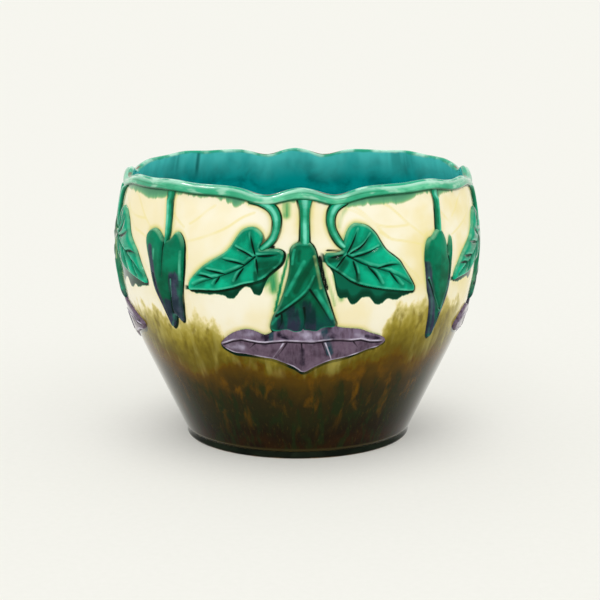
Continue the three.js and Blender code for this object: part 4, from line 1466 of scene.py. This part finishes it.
def vineGlaze():
    material, tree, colour = newGlaze("vineGlaze", shine=vine["shine"])
    lengthwise = tree.noise(tree.stretch(tree.flow(), (1, 1, 26)), 9)
    patches = tree.cloud(tree.place(), 22, 0.4, 0.64)
    up = tree.mark("up")
    # painted highlight along the top of the roll
    litCrown = tree.times(tree.range(up, 0.3, 0.85), tree.range(patches, 0, 1, 0.35, 0.8), 0.9)
    base = tree.pair(patches, vine["patches"])
    base = tree.coat(base, tree.times(tree.range(lengthwise, 0.52, 0.66), 0.55), vine["streak"])
    base = tree.coat(base, tree.times(tree.range(lengthwise, 0.47, 0.36), 0.55), vine["darkStreak"])
    base = tree.coat(base, litCrown, vine["litCrown"])
    base = tree.coat(base, tree.times(tree.range(tree.mark("seam"), 0.15, 0.5), 0.7), vine["seam"])
    # painted shade along the lower side of the roll
    base = tree.coat(base, tree.times(tree.range(up, -0.35, -0.85), 0.95), vine["under"])
    tree.feed(colour, base)
    return material


showPiece("rim_vine_glazed", vineRing(), [vineGlaze()], "vine_glaze", "rim_vine")

foot = {
    "radius": 93.2,
    "width": 9,
    "chamfer": 2.2,
    "hollow": 0.25,
    "turns": 480,
    "rowsInChamfer": 6,
    "gloss": 0.14,
    "shine": 0.05,
    "clouds": ("#0E140D", "#1C2519"),
    "thin": "#3B2A18",
    "bare": "#B79A72",
}


def footRing():
    outer, chamfer, top = foot["radius"], foot["chamfer"], bowl["footTop"]
    inner = outer - foot["width"]
    turns = np.linspace(0, math.pi / 2, foot["rowsInChamfer"])
    lower = [(outer - chamfer * (1 - math.sin(turn)), chamfer * (1 - math.cos(turn))) for turn in turns]
    side = [
        (outer - foot["hollow"] * math.sin(math.pi * share), chamfer + share * (top - chamfer))
        for share in (0.25, 0.5, 0.75, 1)
    ]
    back = [(inner, top), (inner, chamfer), (inner + chamfer, 0)]
    return spunProfile("foot_ring_glazed", lower + side + back, foot["turns"], closed=True)


def footGlaze():
    material, tree, colour = newGlaze("footGlaze", gloss=foot["gloss"], shine=foot["shine"])
    place = tree.place()
    base = tree.pair(tree.cloud(place, 40, 0.4, 0.65), foot["clouds"])
    level = tree.sum("ADD", tree.height(), tree.swing(place, 70, 0.0004))
    base = tree.coat(base, tree.range(level, 0.0014, 0.0007), foot["thin"])
    tree.feed(colour, tree.coat(base, tree.range(level, 0.0006, 0.0001), foot["bare"]))
    return material


showPiece("foot_ring_glazed", footRing(), [footGlaze()], "foot_glaze", "foot_ring")
print("vine and foot made")


# The table top and the light

def seenRay(tree):  # 1 for what the camera sees, directly, in a gloss or through glass
    path = tree.nodes.new("ShaderNodeLightPath")
    shown = tree.sum("MAXIMUM", path.outputs["Is Camera Ray"], path.outputs["Is Glossy Ray"])
    return tree.sum("MAXIMUM", shown, path.outputs["Is Transmission Ray"])


floorLook = {
    "radius": 60,  # in metres, so that it fills the picture
    "sides": 64,
    "roughness": 0.8,
    "lit": ("#ECEBE4", "#F3F2EC"),
    "seen": ("#F2F2EA", "#F8F7F0"),  # paler: what the camera sees of it, more and more away from the pot
    "fade": (0.09, 0.2, 0.2, 0.6),
}


def floorMaterial():
    material = bpy.data.materials.new("paleFloor")
    material.use_nodes = True
    tree = Tree(material.node_tree)
    shader = tree.nodes["Principled BSDF"]
    shader.inputs["Specular IOR Level"].default_value = 0
    shader.inputs["Roughness"].default_value = floorLook["roughness"]
    grain = tree.noise(tree.place(), 180, 4, 0.7)
    tree.feed(shader.inputs["Base Color"], tree.pair(grain, floorLook["lit"]))
    pale = tree.nodes.new("ShaderNodeEmission")
    tree.feed(pale.inputs["Color"], tree.pair(grain, floorLook["seen"]))
    away = tree.nodes.new("ShaderNodeVectorMath")
    away.operation = "LENGTH"
    tree.feed(away.inputs[0], tree.place())
    share = tree.times(seenRay(tree), tree.range(away.outputs["Value"], *floorLook["fade"]))
    tree.blend(share, shader, pale, tree.nodes["Material Output"])
    return material


def makeFloor():
    mesh = bpy.data.meshes.new("floor")
    bm = bmesh.new()
    bmesh.ops.create_circle(bm, cap_ends=True, radius=floorLook["radius"], segments=floorLook["sides"])
    bm.to_mesh(mesh)
    bm.free()
    mesh.materials.append(floorMaterial())
    floor = bpy.data.objects.new("floor", mesh)
    bpy.context.scene.collection.objects.link(floor)


makeFloor()

studioLight = {
    "backdrop": "#FAF6EF",
    "world": 0.93,
    "lamps": {  # strength, spread in degrees, the way its light travels, and whether it only gives glints
        "keyLight": (0.35, 26, (0.2, 0.62, -0.76), False),
        "sideLight": (0.2, 30, (-0.42, 0.55, -0.72), False),
        "backLight": (0.12, 30, (0.1, -0.6, -0.79), False),
        "frontGlint": (1.3, 3.4, (-0.12, 0.5, -0.86), True),
        "backGlint": (0.8, 4, (0.3, -0.5, -0.8), True),
    },
}


def studio():
    world = bpy.data.worlds.new("studio")
    bpy.context.scene.world = world
    world.use_nodes = True
    tree = Tree(world.node_tree)
    tree.nodes.clear()
    seen = tree.nodes.new("ShaderNodeBackground")
    seen.inputs["Color"].default_value = tint(studioLight["backdrop"])
    light = tree.nodes.new("ShaderNodeBackground")
    light.inputs["Color"].default_value = (1, 1, 1, 1)
    light.inputs["Strength"].default_value = studioLight["world"]
    tree.blend(seenRay(tree), light, seen, tree.nodes.new("ShaderNodeOutputWorld"))


def softSun(name, strength, spread, direction, glint):
    lamp = bpy.data.lights.new(name, "SUN")
    lamp.energy = strength
    lamp.angle = math.radians(spread)
    sun = bpy.data.objects.new(name, lamp)
    sun.visible_diffuse = not glint
    sun.rotation_mode = "QUATERNION"
    sun.rotation_quaternion = Vector(direction).to_track_quat("-Z", "Y")
    bpy.context.scene.collection.objects.link(sun)


studio()
for name, values in studioLight["lamps"].items():
    softSun(name, *values)

camera = {  # in metres, radians and, for the lens and the sensor, millimetres
    "place": (-0.022, -1.3716, 0.387),
    "down": 0.19914,
    "turn": math.radians(1),
    "lens": 100.57,
    "sensor": 36,
}


def aimCamera():
    data = bpy.data.cameras.new("camera")
    data.lens = camera["lens"]
    data.sensor_width = camera["sensor"]
    eye = bpy.data.objects.new("camera", data)
    level = math.cos(camera["down"])
    forward = (level * math.sin(camera["turn"]), level * math.cos(camera["turn"]), -math.sin(camera["down"]))
    eye.location = camera["place"]
    eye.rotation_mode = "QUATERNION"
    eye.rotation_quaternion = Vector(forward).to_track_quat("-Z", "Y")
    bpy.context.scene.collection.objects.link(eye)
    bpy.context.scene.camera = eye


aimCamera()
bpy.context.scene.view_settings.view_transform = "Standard"
print("camera and light set")
